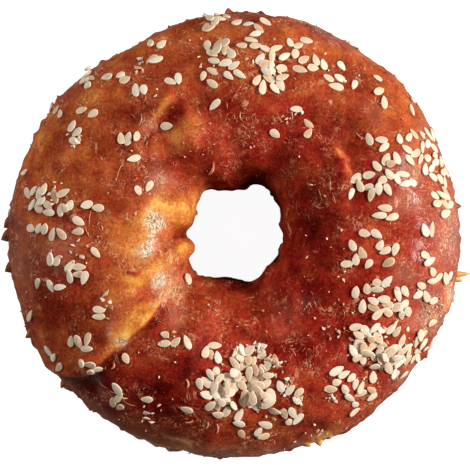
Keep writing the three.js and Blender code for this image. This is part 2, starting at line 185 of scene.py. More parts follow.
# %% How far a fold lifts the crust
def fold_samples(path):
    """A fold's path as closely spaced clock angles, section angles and strengths."""
    controls = np.array(path, float)
    along = np.arange(FOLD_SAMPLES + 1) / FOLD_SAMPLES
    place = along * (len(controls) - 1)
    first = np.minimum(np.floor(place).astype(int), len(controls) - 1)
    around = [controls[np.clip(first + offset, 0, len(controls) - 1)] for offset in (-1, 0, 1, 2)]
    clock, section = between(*around, (place - first)[:, None]).T
    return clock, section, smooth(np.minimum(along, 1 - along) / FOLD_TAPER)


for fold in FOLDS:
    fold["samples"] = fold_samples(fold["path"])


def fold_distance(fold, clock, section, radius):
    """How far each place is from the fold in millimetres, above 0 on its raised side, and the strength there."""
    clocks, sections, strengths = fold["samples"]
    nearest = np.full(clock.shape, np.inf)
    side, strength = np.ones(clock.shape), np.zeros(clock.shape)
    for i in range(len(clocks) - 1):
        ax = np.radians(turn_between(clocks[i], clock)) * radius
        ay = np.radians(sections[i] - section) * ROLL_RADIUS
        dx = math.radians(clocks[i + 1] - clocks[i]) * radius
        dy = math.radians(sections[i + 1] - sections[i]) * ROLL_RADIUS
        share = np.clip(-(ax * dx + ay * dy) / (dx * dx + dy * dy), 0, 1)
        distance = np.hypot(ax + share * dx, ay + share * dy)
        closer = distance < nearest
        nearest = np.where(closer, distance, nearest)
        side = np.where(closer, np.sign(dx * -ay - dy * -ax) * fold["raised"], side)
        here = strengths[i] + share * (strengths[i + 1] - strengths[i])
        strength = np.where(closer, here, strength)
    return nearest * side, strength


def fold_lift(fold, clock, section, radius):
    """The fold's lift or pinch at each place, in millimetres."""
    signed, strength = fold_distance(fold, clock, section, radius)
    step = smooth(signed / FOLD_EDGE + 0.5)
    lift = fold["height"] * step * np.exp(-np.maximum(signed, 0) / fold["reach"])
    pinch = fold["groove"] * (1 - step) * np.exp(-np.maximum(-signed, 0) / FOLD_PINCH)
    return strength * (lift - pinch)


# %% The crust's point at any two angles
HALVINGS = 24  # each one halves the error of a section angle that is searched for


def relief_at(clock, section, radius):
    """Waves, folds and swellings together."""
    slope = np.sin(np.radians(section))
    waves = sum(h * np.sin(np.radians(ring * clock + roll * section + start))
                for ring, roll, h, start in CRUST_WAVES)
    shapes = sum(fold_lift(fold, clock, section, radius) for fold in FOLDS)
    for at, down, reach, height in SWELLINGS:
        across = np.radians(turn_between(at, clock)) * radius
        along = np.radians(down - section) * ROLL_RADIUS
        shapes = shapes + height * np.exp(-(across**2 + along**2) / reach**2 * 2)
    fade = 1 - smooth((-slope - RELIEF_ENDS / 2) / (RELIEF_ENDS / 2))
    return fade * (waves * np.abs(slope) + shapes)


def crust_point(clock, section):
    """The crust's points, in millimetres, at arrays of clock and section angles."""
    rim, hole = radius_at(RIM_RADII, clock), radius_at(HOLE_RADII, clock)
    middle, half = (rim + hole) / 2, (rim - hole) / 2
    crown = (CROWN_HEIGHT + CROWN_WAVE * np.sin(np.radians(2 * clock + 50))
             + 0.5 * CROWN_WAVE * np.sin(np.radians(5 * clock)))
    cos, sin = np.cos(np.radians(section)), np.sin(np.radians(section))
    out = half * signed_power(cos, 2 / ROUNDNESS)
    reach = np.where(sin > 0, crown - WAIST_HEIGHT, WAIST_HEIGHT + BASE_SINK)
    relief = relief_at(clock, section, middle + out)
    radius = middle + out + relief * cos
    height = np.maximum(WAIST_HEIGHT + reach * signed_power(sin, 2 / ROUNDNESS) + relief * sin, 0)
    angle = np.radians(clock)
    return np.stack([radius * np.cos(angle), radius * np.sin(angle), height], axis=-1)


def section_seen_at(clock, radius):
    """The section angle of the crust that is seen at a radius from above."""
    low_end, high_end = np.zeros(clock.shape), np.full(clock.shape, 180.0)
    for _ in range(HALVINGS):
        middle = (low_end + high_end) / 2
        x, y, _ = np.moveaxis(crust_point(clock, middle), -1, 0)
        outside = np.hypot(x, y) > radius
        low_end, high_end = np.where(outside, middle, low_end), np.where(outside, high_end, middle)
    return (low_end + high_end) / 2


def seen_from_above(x, y):
    """The clock and section angles of the crust under points given from above."""
    clock = np.degrees(np.arctan2(y, x))
    return clock, section_seen_at(clock, np.hypot(x, y))


print("crown at clock 0, in mm:", crust_point(np.array([0.0]), np.array([90.0])).round(1))

# %% [markdown]
# ## The crust's mesh
#
# The form is sampled on a grid of angles: fine over the top, coarser underneath, where the ring rests. Fine
# relief then moves each point along its normal. It is real geometry rather than a bump map, so that the crust
# keeps its wrinkles in outline and in the mesh itself: soft lumps, small pimples, and strings that run
# one way, as the fibres of the wrap do.

# %% Grid of the crust
RING_STEPS = 700
TOP_ROWS = np.linspace(-14, 194, 108, endpoint=False)  # section angles
BELLY_ROWS = np.linspace(194, 346, 32, endpoint=False)
ROWS = np.concatenate([TOP_ROWS, BELLY_ROWS])
CLOCKS = np.arange(RING_STEPS) * 360 / RING_STEPS
grid_clock, grid_section = np.meshgrid(CLOCKS, ROWS, indexing="ij")
smooth_crust = crust_point(grid_clock, grid_section)


def grid_normals(points):
    """Outward normals of a closed grid of points."""
    along = np.roll(points, -1, axis=0) - np.roll(points, 1, axis=0)
    over = np.roll(points, -1, axis=1) - np.roll(points, 1, axis=1)
    return unit(np.cross(along, over))


print("crust grid:", grid_clock.shape, "points")


# %% Noise as arrays
NOISE_SHIFT = np.array([1.7, 5.1, 9.3])  # how far apart two seeds' noises are taken


def noise_at(points, size, seed):
    """Smooth noise from -1 to 1. size is how large one lump is, a number or one for each axis, in millimetres."""
    places = points.reshape(-1, 3) / np.asarray(size, float) + NOISE_SHIFT * seed
    values = np.fromiter((noise.noise(place) for place in places.tolist()), float, len(places))
    return values.reshape(points.shape[:-1])


# %% [markdown]
# The strings of the wrap run mostly along Y, leaning a little to the right, and wander. So the points are turned
# and bent before they are measured, and the noise is long along the strings and short across them.

# %% Direction of the strings
STRING_LEAN = 16  # degrees
STRING_WANDER = 5.0  # mm


def along_strings(points):
    """The points in axes that follow the strings: across, along and up, in millimetres."""
    drift = noise_at(points, size=17, seed=3) * STRING_WANDER
    lean = math.radians(STRING_LEAN)
    x, y, z = np.moveaxis(points, -1, 0)
    across = x * math.cos(lean) - y * math.sin(lean) + drift
    along = x * math.sin(lean) + y * math.cos(lean)
    return np.stack([across, along, z], axis=-1)


# %% Fine relief
LUMP_SIZE, LUMP_HEIGHT = 5.5, 0.46
PIMPLE_SIZE, PIMPLE_HEIGHT = 2.2, 0.12
GRIT_SIZE, GRIT_HEIGHT = 0.9, 0.03
STRING_SIZE, STRING_HEIGHT = (1.6, 8.0, 3.0), 0.10
RIM_LINE, HOLE_LINE, LINE_WIDTH = 0, 183, 16  # section angles of the two outlines, and how wide they count
RIM_DRAWN, HOLE_DRAWN = 0.20, 0.35  # how far the crust is drawn back there, to make up for its nubs

strings = along_strings(smooth_crust)
lumps = noise_at(smooth_crust, LUMP_SIZE, seed=1)
pimples = noise_at(smooth_crust, PIMPLE_SIZE, seed=2)
grit = noise_at(smooth_crust, GRIT_SIZE, seed=4)
string_ridges = 1 - 2 * np.abs(noise_at(strings, STRING_SIZE, seed=5))
string_share = smooth(noise_at(smooth_crust, size=9, seed=6) + 0.6)  # strings don't show everywhere
at_rim = np.exp(-(turn_between(grid_section, RIM_LINE) / LINE_WIDTH) ** 2)
at_hole = np.exp(-((grid_section - HOLE_LINE) / LINE_WIDTH) ** 2)
fine = (LUMP_HEIGHT * lumps + PIMPLE_HEIGHT * pimples + GRIT_HEIGHT * grit
        + STRING_HEIGHT * string_share * (string_ridges - 0.4) - RIM_DRAWN * at_rim - HOLE_DRAWN * at_hole)
print("fine relief from", fine.min().round(2), "to", fine.max().round(2), "mm")

# %% [markdown]
# The rim is torn rather than smooth. Short nubs of dried wrap stand out of it, thick on the left and below, where
# the wrap was cut, and few on the right. The hole's edge has some too.

# %% Nubs of the rim
RAGGED_RIM = [  # clock angle, half width in degrees, height of the nubs in mm
    (182, 10, 0.8), (212, 16, 0.6), (240, 24, 0.75), (290, 16, 0.5), (332, 16, 0.8), (96, 20, 0.8),
    (140, 24, 0.6), (45, 40, 0.5),
]
RAGGED_LEAST, HOLE_RAGGED = 0.25, 0.5
HOLE_BITES = [  # clock angle, half width in degrees, depth in mm
    (127, 5, 0.8), (142, 6, 0.4), (112, 5, -0.6), (79, 7, -0.5), (353, 3, 0.5), (331, 5, 0.4),
]
NUB_NOISE, NUB_CUT, NUB_GAIN = 0.9, 0.1, 2.0


def round_the_ring(rows, least=0.0):
    """Soft humps round the ring, added up at every point of the grid."""
    return sum((height - least) * np.exp(-(turn_between(grid_clock, clock) / wide) ** 2)
               for clock, wide, height in rows)


ragged_height = RAGGED_LEAST + round_the_ring(RAGGED_RIM, RAGGED_LEAST)
bites = round_the_ring(HOLE_BITES)
nub_noise = (NUB_NOISE * noise_at(smooth_crust, size=(1.5, 1.5, 1.8), seed=7)
             + NUB_NOISE * noise_at(smooth_crust, size=(3.4, 3.4, 3.0), seed=8))
nub_share = smooth(noise_at(smooth_crust, size=7.0, seed=9) * 1.6 + 0.55)
nubs = np.maximum(nub_noise - NUB_CUT, 0) * NUB_GAIN * nub_share
fine = fine + nubs * (ragged_height * at_rim + HOLE_RAGGED * at_hole) - bites * at_hole
print("nubs up to", (nubs * ragged_height * at_rim).max().round(2), "mm")

# %% Put the relief on the crust
BASE_FADE = 2.5  # mm above the table where the relief is whole; it fades to nothing below
above_base = smooth(smooth_crust[..., 2] / BASE_FADE)
crust_normals = grid_normals(smooth_crust)
crust_points = smooth_crust + crust_normals * (fine * above_base)[..., None]
crust_points[..., 2] = np.maximum(crust_points[..., 2], 0)
crust_normals = grid_normals(crust_points)
print("crust height", crust_points[..., 2].max().round(2), "mm")


# %% Any place on the finished crust
def on_crust(clock, section):
    """The finished crust's points and normals at arrays of angles, read off its grid."""
    column = (np.asarray(clock, float) % 360) / 360 * RING_STEPS
    turned = (np.asarray(section, float) - ROWS[0]) % 360 + ROWS[0]
    row = np.interp(turned, np.append(ROWS, ROWS[0] + 360), np.arange(len(ROWS) + 1))
    i, j = np.floor(column).astype(int), np.floor(row).astype(int)
    u, v = (column - i)[..., None], (row - j)[..., None]

    def read(grid):
        corner = [[grid[(i + a) % RING_STEPS, (j + b) % len(ROWS)] for b in (0, 1)] for a in (0, 1)]
        near = corner[0][0] * (1 - v) + corner[0][1] * v
        far = corner[1][0] * (1 - v) + corner[1][1] * v
        return near * (1 - u) + far * u

    return read(crust_points), unit(read(crust_normals))


# %% [markdown]
# ## Where the crust is yellow and where it is dark
#
# A baked, glazed crust isn't one brown. It is yellow where soft fat lies near the surface, orange round that, and
# nearly black on the hole's wall and under the raised edges of the folds, where it is painted shade. One number for
# each point says how light the crust is there, its tone: patches add to it or take from it, and noise breaks their
# edges. The material turns the tone into colour.

# %% Patches of tone
TONE_PATCHES = [  # x, y, half length, half width, turn in degrees, change of tone
    # left of the hole: the bulge, the bands and the long edge
    (-14.8, 5, 6.4, 4.6, 0, 0.46), (-17, 7.2, 2.6, 1.6, 0, 0.2), (-9.4, 8.2, 1.6, 4, 0, 0.18),
    (-11.4, -3.2, 3.4, 2, 30, 0.2), (-22.6, -2, 8, 5, 0, 0.2), (-25.5, 1.3, 4, 3, 0, 0.06),
    (-18.4, -8, 8.2, 2.2, 37, 0.28), (-21.6, -13.4, 4.6, 2, 42, 0.1), (-27.3, -13.2, 2.4, 1.6, 42, 0.08),
    (-22.5, -8.2, 0.9, 0.7, 0, -0.25), (-27.5, -14, 6, 3, 45, 0.16), (-22.2, -18.2, 7.6, 1.7, 42, 0.36),
    (-14.4, -12.2, 4, 6, -20, 0.24), (-16.4, 12, 5, 4, 0, 0.12), (-20, 0, 3, 5, 0, 0.12),
    (-17.4, -18.2, 2.2, 1.3, 50, -0.2), (-20.5, -23.8, 3, 2.4, 0, 0.14), (-11, 18.3, 3, 3, 0, 0.1),
    (-14.5, 16.5, 5, 2.4, 10, -0.1),
    # the torn edge and the bump beside it
    (-15.8, 28, 2.9, 1.5, 45, 0.36), (-10.8, 22.4, 5, 3, 15, 0.27), (-18.6, 25, 2.4, 1.2, 45, 0.2),
    (-14.2, 25.5, 5.8, 1.2, 47, -0.22), (-12.2, 27.2, 3, 2, 47, 0.12), (-9, 28.5, 4.6, 1.8, 35, -0.1),
    # upper left
    (-32, 19, 4, 4, 0, -0.09), (-31, 31, 5, 2.8, 30, 0.18), (-34.6, 18.6, 4, 2.6, 20, 0.2),
    (-43.4, 3.4, 2.4, 1.6, 0, 0.26), (-42.6, 20.5, 8, 2.6, 62, 0.18), (-8, 43, 14, 3.4, 12, 0.12),
    (-25.5, 27, 5, 3.2, 0, -0.16), (-4, 27.4, 5, 3, 0, -0.05), (-33, 8, 5, 3, 60, -0.08),
    (-2, 16, 6, 2.4, 0, -0.06), (-36.5, 11.2, 6, 5, 0, 0.16), (-29.5, 26.2, 4.6, 3.6, 0, 0.14),
    (-23, 39, 8, 5, 30, 0.08),
    # lower left
    (-24.6, -22.8, 4.4, 1.5, 42, 0.26), (-33, -26.5, 4.4, 3.2, 0, 0.14), (-19, -45.4, 4, 1.1, -22, 0.2),
    (-12.8, -44.6, 3.4, 0.9, -25, 0.26), (-30.5, -38.2, 6, 1.2, -42, 0.14), (-38, -16.5, 7, 5, -40, -0.18),
    (-19.5, -34.6, 10, 5.4, -20, -0.28), (-33, -33.4, 5, 2.4, -45, -0.1), (-11.6, -30.1, 5, 5, 0, -0.16),
    (-24.4, -34.3, 4, 5, 0, 0.14), (-38.4, -11, 5, 5, 0, -0.1), (-10.8, -28.6, 5, 4, 0, -0.08),
    (-7.3, -22.9, 3, 3, 0, -0.1), (-13, -46.5, 6, 2, 15, 0.1), (-33, 0, 3, 3, 0, 0.12),
    (-9, -40, 6, 4, 0, -0.1), (-29, -37, 5, 4, -40, -0.12), (-32, -14.7, 4, 4, 0, -0.08),
    # the patches here and below that take tone from the hole's edge, at (2.6, 12.6), (18, 5), (12.3, 9), (0, -11) and
    # (12.8, -3.7), are painted shade in the hole
    # upper right
    (29.5, 36.5, 10, 4, -38, 0.06), (16.3, 42.4, 7, 2.8, -15, 0.12), (38, 4, 8, 24, 0, 0.1),
    (24, 16.6, 4.2, 0.8, -60, 0.36), (22.2, 16, 4, 1.2, -60, -0.12), (31, 2, 4, 3, 0, 0.12),
    (18, 5, 5, 10.5, 0, -0.2), (1, 21, 4, 4, 0, 0.06), (12, 17, 5, 4, 30, -0.14), (2.6, 12.6, 5, 2.4, 0, -0.24),
    (35.6, 12.3, 6, 6, 0, -0.16), (15.4, 17.2, 4.6, 4, 0, 0.14), (18.7, 4.4, 4, 4, 0, 0.08),
    (16.7, 42.2, 6, 4, 0, -0.08), (12.3, 9, 3, 4, -40, -0.1), (12, 23, 7, 5, 0, -0.1),
    # lower right
    (46.6, -13.6, 3.4, 1.6, 72, 0.34), (42.6, -31, 2.6, 1.6, 50, 0.24), (18, -44.8, 5, 1.3, 20, 0.36),
    (0.4, -15.6, 4.6, 5, 0, 0.03), (11.5, -25.5, 5, 3.6, 0, -0.16), (27, -26, 3, 2, 0, -0.1),
    (14, -24, 3, 2, 0, -0.1), (0, -11, 6, 2.6, 0, -0.24), (15, -14.7, 6, 5, 0, -0.14),
    (12.3, -34.5, 5, 5, 0, -0.1), (12.8, -3.7, 3, 6, 0, -0.1), (21, -43.2, 4, 2, 20, 0.16),
    (25, -14, 4, 5, 0, -0.1), (21.6, -20.5, 4, 4, 0, -0.15), (47, 0, 3, 12, 0, -0.06),
    (2, -47.5, 12, 2.4, 0, 0.07), (38, -3.3, 3, 4, 0, -0.08), (21, -3, 4, 8, 0, -0.06),
]
TONE_BASE = 0.40
PATCH_FALL, PATCH_POWER = 1.2, 1.3  # how fast a patch fades at its edge, and how flat it is inside


def patches_at(points, patches):
    """The sum of the patches' changes at each point, seen from above. A patch is flat inside and soft-edged."""
    total = np.zeros(points.shape[:-1])
    for x, y, long_half, wide_half, turn, change in patches:
        cos, sin = math.cos(math.radians(turn)), math.sin(math.radians(turn))
        dx, dy = points[..., 0] - x, points[..., 1] - y
        u, v = (dx * cos + dy * sin) / long_half, (dy * cos - dx * sin) / wide_half
        total += change * np.exp(-PATCH_FALL * (u * u + v * v) ** PATCH_POWER)
    return total


# %% [markdown]
# Where the wrap's edge stands up, its cut side shows: yellow and nearly clear, with a sharp line where it ends.
# Below that line the crust is darkened with painted shade, as the raised edge would shade it. So each fold also
# changes the tone, by its distance from the path.

# %% Tone along the folds
FOLD_TONES = [  # fold, glow on the raised side, its width in mm, shade on the low side, its width
    (0, 0.2, 1.4, -0.2, 3), (1, 0.04, 1.1, -0.12, 3.4), (2, 0, 2, -0.08, 3.4), (3, 0.1, 3, -0.22, 1.4),
    (4, 0.1, 2, -0.08, 2), (5, 0.06, 2.4, -0.08, 3), (6, 0.06, 2, -0.08, 2), (7, 0.06, 2, -0.08, 2),
]
FOLD_LINE = 0.9  # how soft the line between glow and shade is, in mm
GLOW_ENDS, END_FADE = 45.0, 9  # radius where the glow has faded out, and over how many mm
LONG_EDGE, LONG_STARTS, START_FADE = 0, 21.0, 4  # the long edge starts to show at this radius


def fold_tone(places, clock, section):
    """The change of tone that the folds make: yellow on the raised side, and painted shade on the low side."""
    total = np.zeros(clock.shape)
    radius = np.hypot(places[..., 0], places[..., 1])
    outside = smooth((GLOW_ENDS - radius) / END_FADE)
    for number, glow, glow_width, shade, shade_width in FOLD_TONES:
        signed, strength = fold_distance(FOLDS[number], clock, section, radius)
        above = smooth(signed / FOLD_LINE + 0.5)
        lit = glow * above * np.exp(-(np.maximum(signed, 0) / glow_width) ** 2) * outside
        # painted shade on the low side of the step
        painted_edge_shade = shade * (1 - above) * np.exp(-np.maximum(-signed, 0) / shade_width)
        shown = smooth((radius - LONG_STARTS) / START_FADE + 0.5) if number == LONG_EDGE else 1
        total += np.sqrt(strength) * (lit + painted_edge_shade) * shown
    return total


# %% Tone of every point
PATCH_RAGGED = 1.5  # how far noise pushes the patches' edges, in mm
TONE_CLOUDS = [(0.12, 8.5, 13), (0.10, 3.1, 14)]  # change of tone, size in mm, seed
# The second number is painted shade: how much the tone is darkened on the hole's wall on the ring's right half, where
# that wall faces away from the lamp.
STRING_TONE, HOLE_PAINTED_SHADE = 0.04, 0.34
SHADED_HOLE_WALL, WALL_WIDTH = 196, 30  # section angles of the dark wall in the hole

ragged = np.stack([noise_at(smooth_crust, size=3.2, seed=11), noise_at(smooth_crust, size=3.2, seed=12),
                   np.zeros(grid_clock.shape)], axis=-1) * PATCH_RAGGED
ragged_crust = smooth_crust + ragged
facing_up = smooth((np.sin(np.radians(grid_section)) + 0.15) / 0.4)
shaded_hole_wall = np.exp(-((grid_section - SHADED_HOLE_WALL) / WALL_WIDTH) ** 2)
right_side = 1 - smooth(np.cos(np.radians(grid_clock - 180)))
tone = TONE_BASE + facing_up * patches_at(ragged_crust, TONE_PATCHES)
tone = tone + fold_tone(smooth_crust, grid_clock, grid_section)
for change, size, seed in TONE_CLOUDS:
    tone = tone + change * noise_at(smooth_crust, size, seed)
# painted shade: the hole's wall on the right half of the ring is darkened
tone = tone + STRING_TONE * string_share * string_ridges - HOLE_PAINTED_SHADE * shaded_hole_wall * right_side
print("tone from", tone.min().round(2), "to", tone.max().round(2))

# %% [markdown]
# Some of the brown is crimson rather than orange, where the wrap is thin over dark crumb. A second number, blush,
# says how red each point is. It is kept apart from the tone, so that a place can be dark and brown or dark and red.

# %% Where the crust is redder
RED_PATCHES = [  # x, y, half length, half width, turn in degrees, how much redder
    # left of the hole: the bulge, the bands and the long edge
    (-24, -12, 10, 6, 45, -0.2), (-21.6, -13.4, 4.6, 2, 42, 0.7), (-14, 5, 6, 6, 0, -0.3),
    (-15.6, 1.6, 1.8, 2.6, -40, 0.9), (-17.2, -18.4, 3.2, 2, 50, 1.6), (-22.8, -21, 5, 1.6, 42, -0.5),
    (-22.5, -8.2, 1.2, 0.9, 0, 0.7), (-14.6, -12, 4, 6, -20, 0.6), (-16.4, 12, 5, 4, 0, 0.4),
    # the torn edge and the bump beside it
    (-14.2, 25.5, 6, 1.6, 47, 0.7), (-15.8, 28, 3, 1.6, 45, -0.3),
    # upper left
    (-23, 45, 12, 6, 30, -0.3), (-2, 20, 12, 8, 0, 0.25), (-6, 18, 12, 6, 0, 0.5), (-30, 22, 10, 10, 0, -0.25),
    # lower left
    (-45, -5, 3, 14, 0, -0.3), (-6, -30, 18, 12, 0, 0.6), (-38, -2, 7, 14, 0, 0.3), (-22, -34, 12, 6, -20, 0.5),
    # upper right
    (4, 26, 16, 10, 0, 0.4), (12, 22, 8, 8, 0, 0.4), (22, 16, 4.4, 1.6, -60, 0.5),
    # lower right
    (26, 0, 26, 22, 0, 0.75), (20, -26, 22, 16, -20, 0.75), (44, -6, 8, 20, 0, 0.5), (1, -16, 5, 3, 0, -0.2),
]
RED_BASE = 0.14
blush = np.clip(RED_BASE + patches_at(ragged_crust, RED_PATCHES), 0, 1)
print("red all through on", round(100 * (blush > 0.9).mean()), "% of the points")

# %% [markdown]
# Where the wrap dried out, it has lifted from the crust: a pale, grainy film with small pits in it. The same pale
# film is laid on the right side and on the slope left of the hole as painted sheen of the lamp. And where the glaze
# ran together it is thick, wet and crinkled. Each gets a number too, from its own patches.

# %% Where the crust is dry and grainy, and where sheen is painted
DRY_FILM_AND_SHEEN_PATCHES = [  # x, y, half length, half width, turn in degrees, how dry
    # left of the hole: the bulge, the bands and the long edge
    (-17.8, 2.8, 2.9, 2, 70, 1.2), (-19.7, -2.6, 3.3, 1.8, 51, 1.1), (-16.4, -9.4, 2.2, 1.5, 80, 1),
    (-16.8, 12, 2.4, 3.4, 0, 0.5), (-17.8, -18, 2.4, 1.6, 50, -1), (-13, -17.6, 2.4, 2.2, 0, 0.3),
    (-14.2, -12.4, 3, 5, -20, 0.22), (-27, -14.4, 2.4, 1.6, -30, 0.3),
    # the torn edge and the bump beside it
    (-18.8, 24.4, 2, 2, -20, 0.42),
    # lower left
    (-24.6, -22.9, 1.7, 1.1, 20, 0.9), (-26.8, -20.6, 1.1, 1.6, 0, 0.6), (-46.5, -5, 3, 10, 0, 0.25),
    (-38.7, -3, 4, 5, 0, 0.3), (-18.5, -45.2, 4, 1.1, -22, 0.4), (-12.5, -44.4, 3, 0.9, -25, 0.55),
    (-35.5, -33.4, 5, 1.4, -45, 0.3), (-28, -39.4, 4, 1.2, -38, 0.3),
    # the rows on the right, above all along the rim at x 43 to 47, and the row at (-14.2, -12.4) left of the hole are
    # painted sheen of the lamp, laid as pale film
    # upper right
    (33, 14.6, 3, 3, 0, 0.3), (39.4, 14, 3.2, 2.8, 0, 0.46), (37.6, 7.8, 4.2, 3.6, 0, 0.34),
    (47, 2, 4.6, 12, 0, 0.4), (41, 22, 3, 6, -30, 0.25), (30, 26, 4, 2, -40, 0.12),
    # lower right
    (47.4, -12.6, 1.5, 2.8, 0, 0.6), (10.6, -18, 3.4, 3.6, 0, 0.12), (15, -14.6, 3, 2, 20, 0.06),
    (36, -8.4, 3, 3, 0, 0.3), (39.4, -18.4, 3, 2, 0, 0.3), (43.6, -17, 4.4, 7, 20, 0.4),
    (43, -6, 5, 14, 0, 0.12), (37, -30, 5, 3, 45, 0.25),
]
dry = np.clip(patches_at(ragged_crust, DRY_FILM_AND_SHEEN_PATCHES), 0, 1)

# %% Where the glaze is thick and crinkled
WET_PATCHES = [  # x, y, half length, half width, turn in degrees, how thick
    # left of the hole: the bulge, the bands and the long edge
    (-15, 12, 5, 5, 0, -0.2), (-14.7, -12.3, 4, 6.6, 0, 1), (-18.4, 1.8, 3.4, 3.4, 0, 0.35),
    (-16.2, -18.2, 4, 3.2, 40, -1.2), (-20.4, -4.6, 4, 3, 0, 0.4),
    # the torn edge and the bump beside it
    (-18.4, 20.4, 6, 5, 30, 0.2), (-17.4, 24.2, 1.6, 1.2, 45, 0.5),
    # upper left
    (-49, 2, 3.4, 14, 0, 0.35), (-34, 36, 14, 3.4, 45, 0.3), (-36, 4, 6, 8, 0, 0.2),
    # lower left
    (-28, -32, 4, 4, 0, 0.4), (-8, -39, 7, 4, 0, 0.4),
    # upper right
    (0, 22, 10, 5, 0, 0.26), (43, 2, 5.6, 24, 0, 0.28), (35, 8, 5, 12, 0, 0.12),
    (20.4, 12.2, 1.9, 6.5, 10, 0.4), (8, 38, 14, 8, 0, 0.25), (20, 45, 18, 3, -25, 0.3),
    # lower right
    (4, -48, 30, 3, 0, 0.22), (30, -30, 10, 7, 45, 0.3), (14, -26, 6, 5, 0, 0.25),
]
wet = np.clip(patches_at(ragged_crust, WET_PATCHES), 0, 1)
print("dry on", round(100 * (dry > 0.3).mean()), "%, wet on", round(100 * (wet > 0.3).mean()), "% of the points")

# %% [markdown]
# Blender's mesh takes plain lists of points and faces. The four numbers go with the points as attributes, and the
# materials read them there by name.

# %% Meshes from arrays
def make_mesh(name, points, faces, attributes=None):
    """A smooth-shaded mesh object from points in millimetres, with a number for each point by name."""
    mesh = bpy.data.meshes.new(name)
    mesh.from_pydata((np.asarray(points).reshape(-1, 3) * MM).tolist(), [], np.asarray(faces).tolist())
    for key, values in (attributes or {}).items():
        layer = mesh.attributes.new(key, "FLOAT", "POINT")
        layer.data.foreach_set("value", np.asarray(values, np.float32).ravel())
    mesh.shade_smooth()
    piece = bpy.data.objects.new(name, mesh)
    bpy.context.scene.collection.objects.link(piece)
    print(f"{name}: {len(mesh.vertices)} points, {len(mesh.polygons)} faces")
    return piece


def grid_faces(columns, rows):
    """Four-sided faces of a grid that closes both ways."""
    i, j = np.meshgrid(np.arange(columns), np.arange(rows), indexing="ij")
    next_i, next_j = (i + 1) % columns, (j + 1) % rows
    corners = [i * rows + j, next_i * rows + j, next_i * rows + next_j, i * rows + next_j]
    return np.stack(corners, axis=-1).reshape(-1, 4)


# %% Make the crust
crust = make_mesh("crust", crust_points, grid_faces(RING_STEPS, len(ROWS)), {
    "tone": tone, "blush": blush, "dry": dry, "wet": wet})

# %% [markdown]
# ## Sesame seeds
#
# A hulled sesame seed is a flat drop, 3.2 by 2 mm, with a thin raised edge. A particle system could strew them,
# but it would be lost in an export, and real seeds fall in heaps. So each patch of seeds draws places by chance
# from its own fixed seed, and a place too close to another seed is drawn again. The first draw gives the seeds
# that are part of the solid ring. A second draw adds the ones that lie between and on top of them.

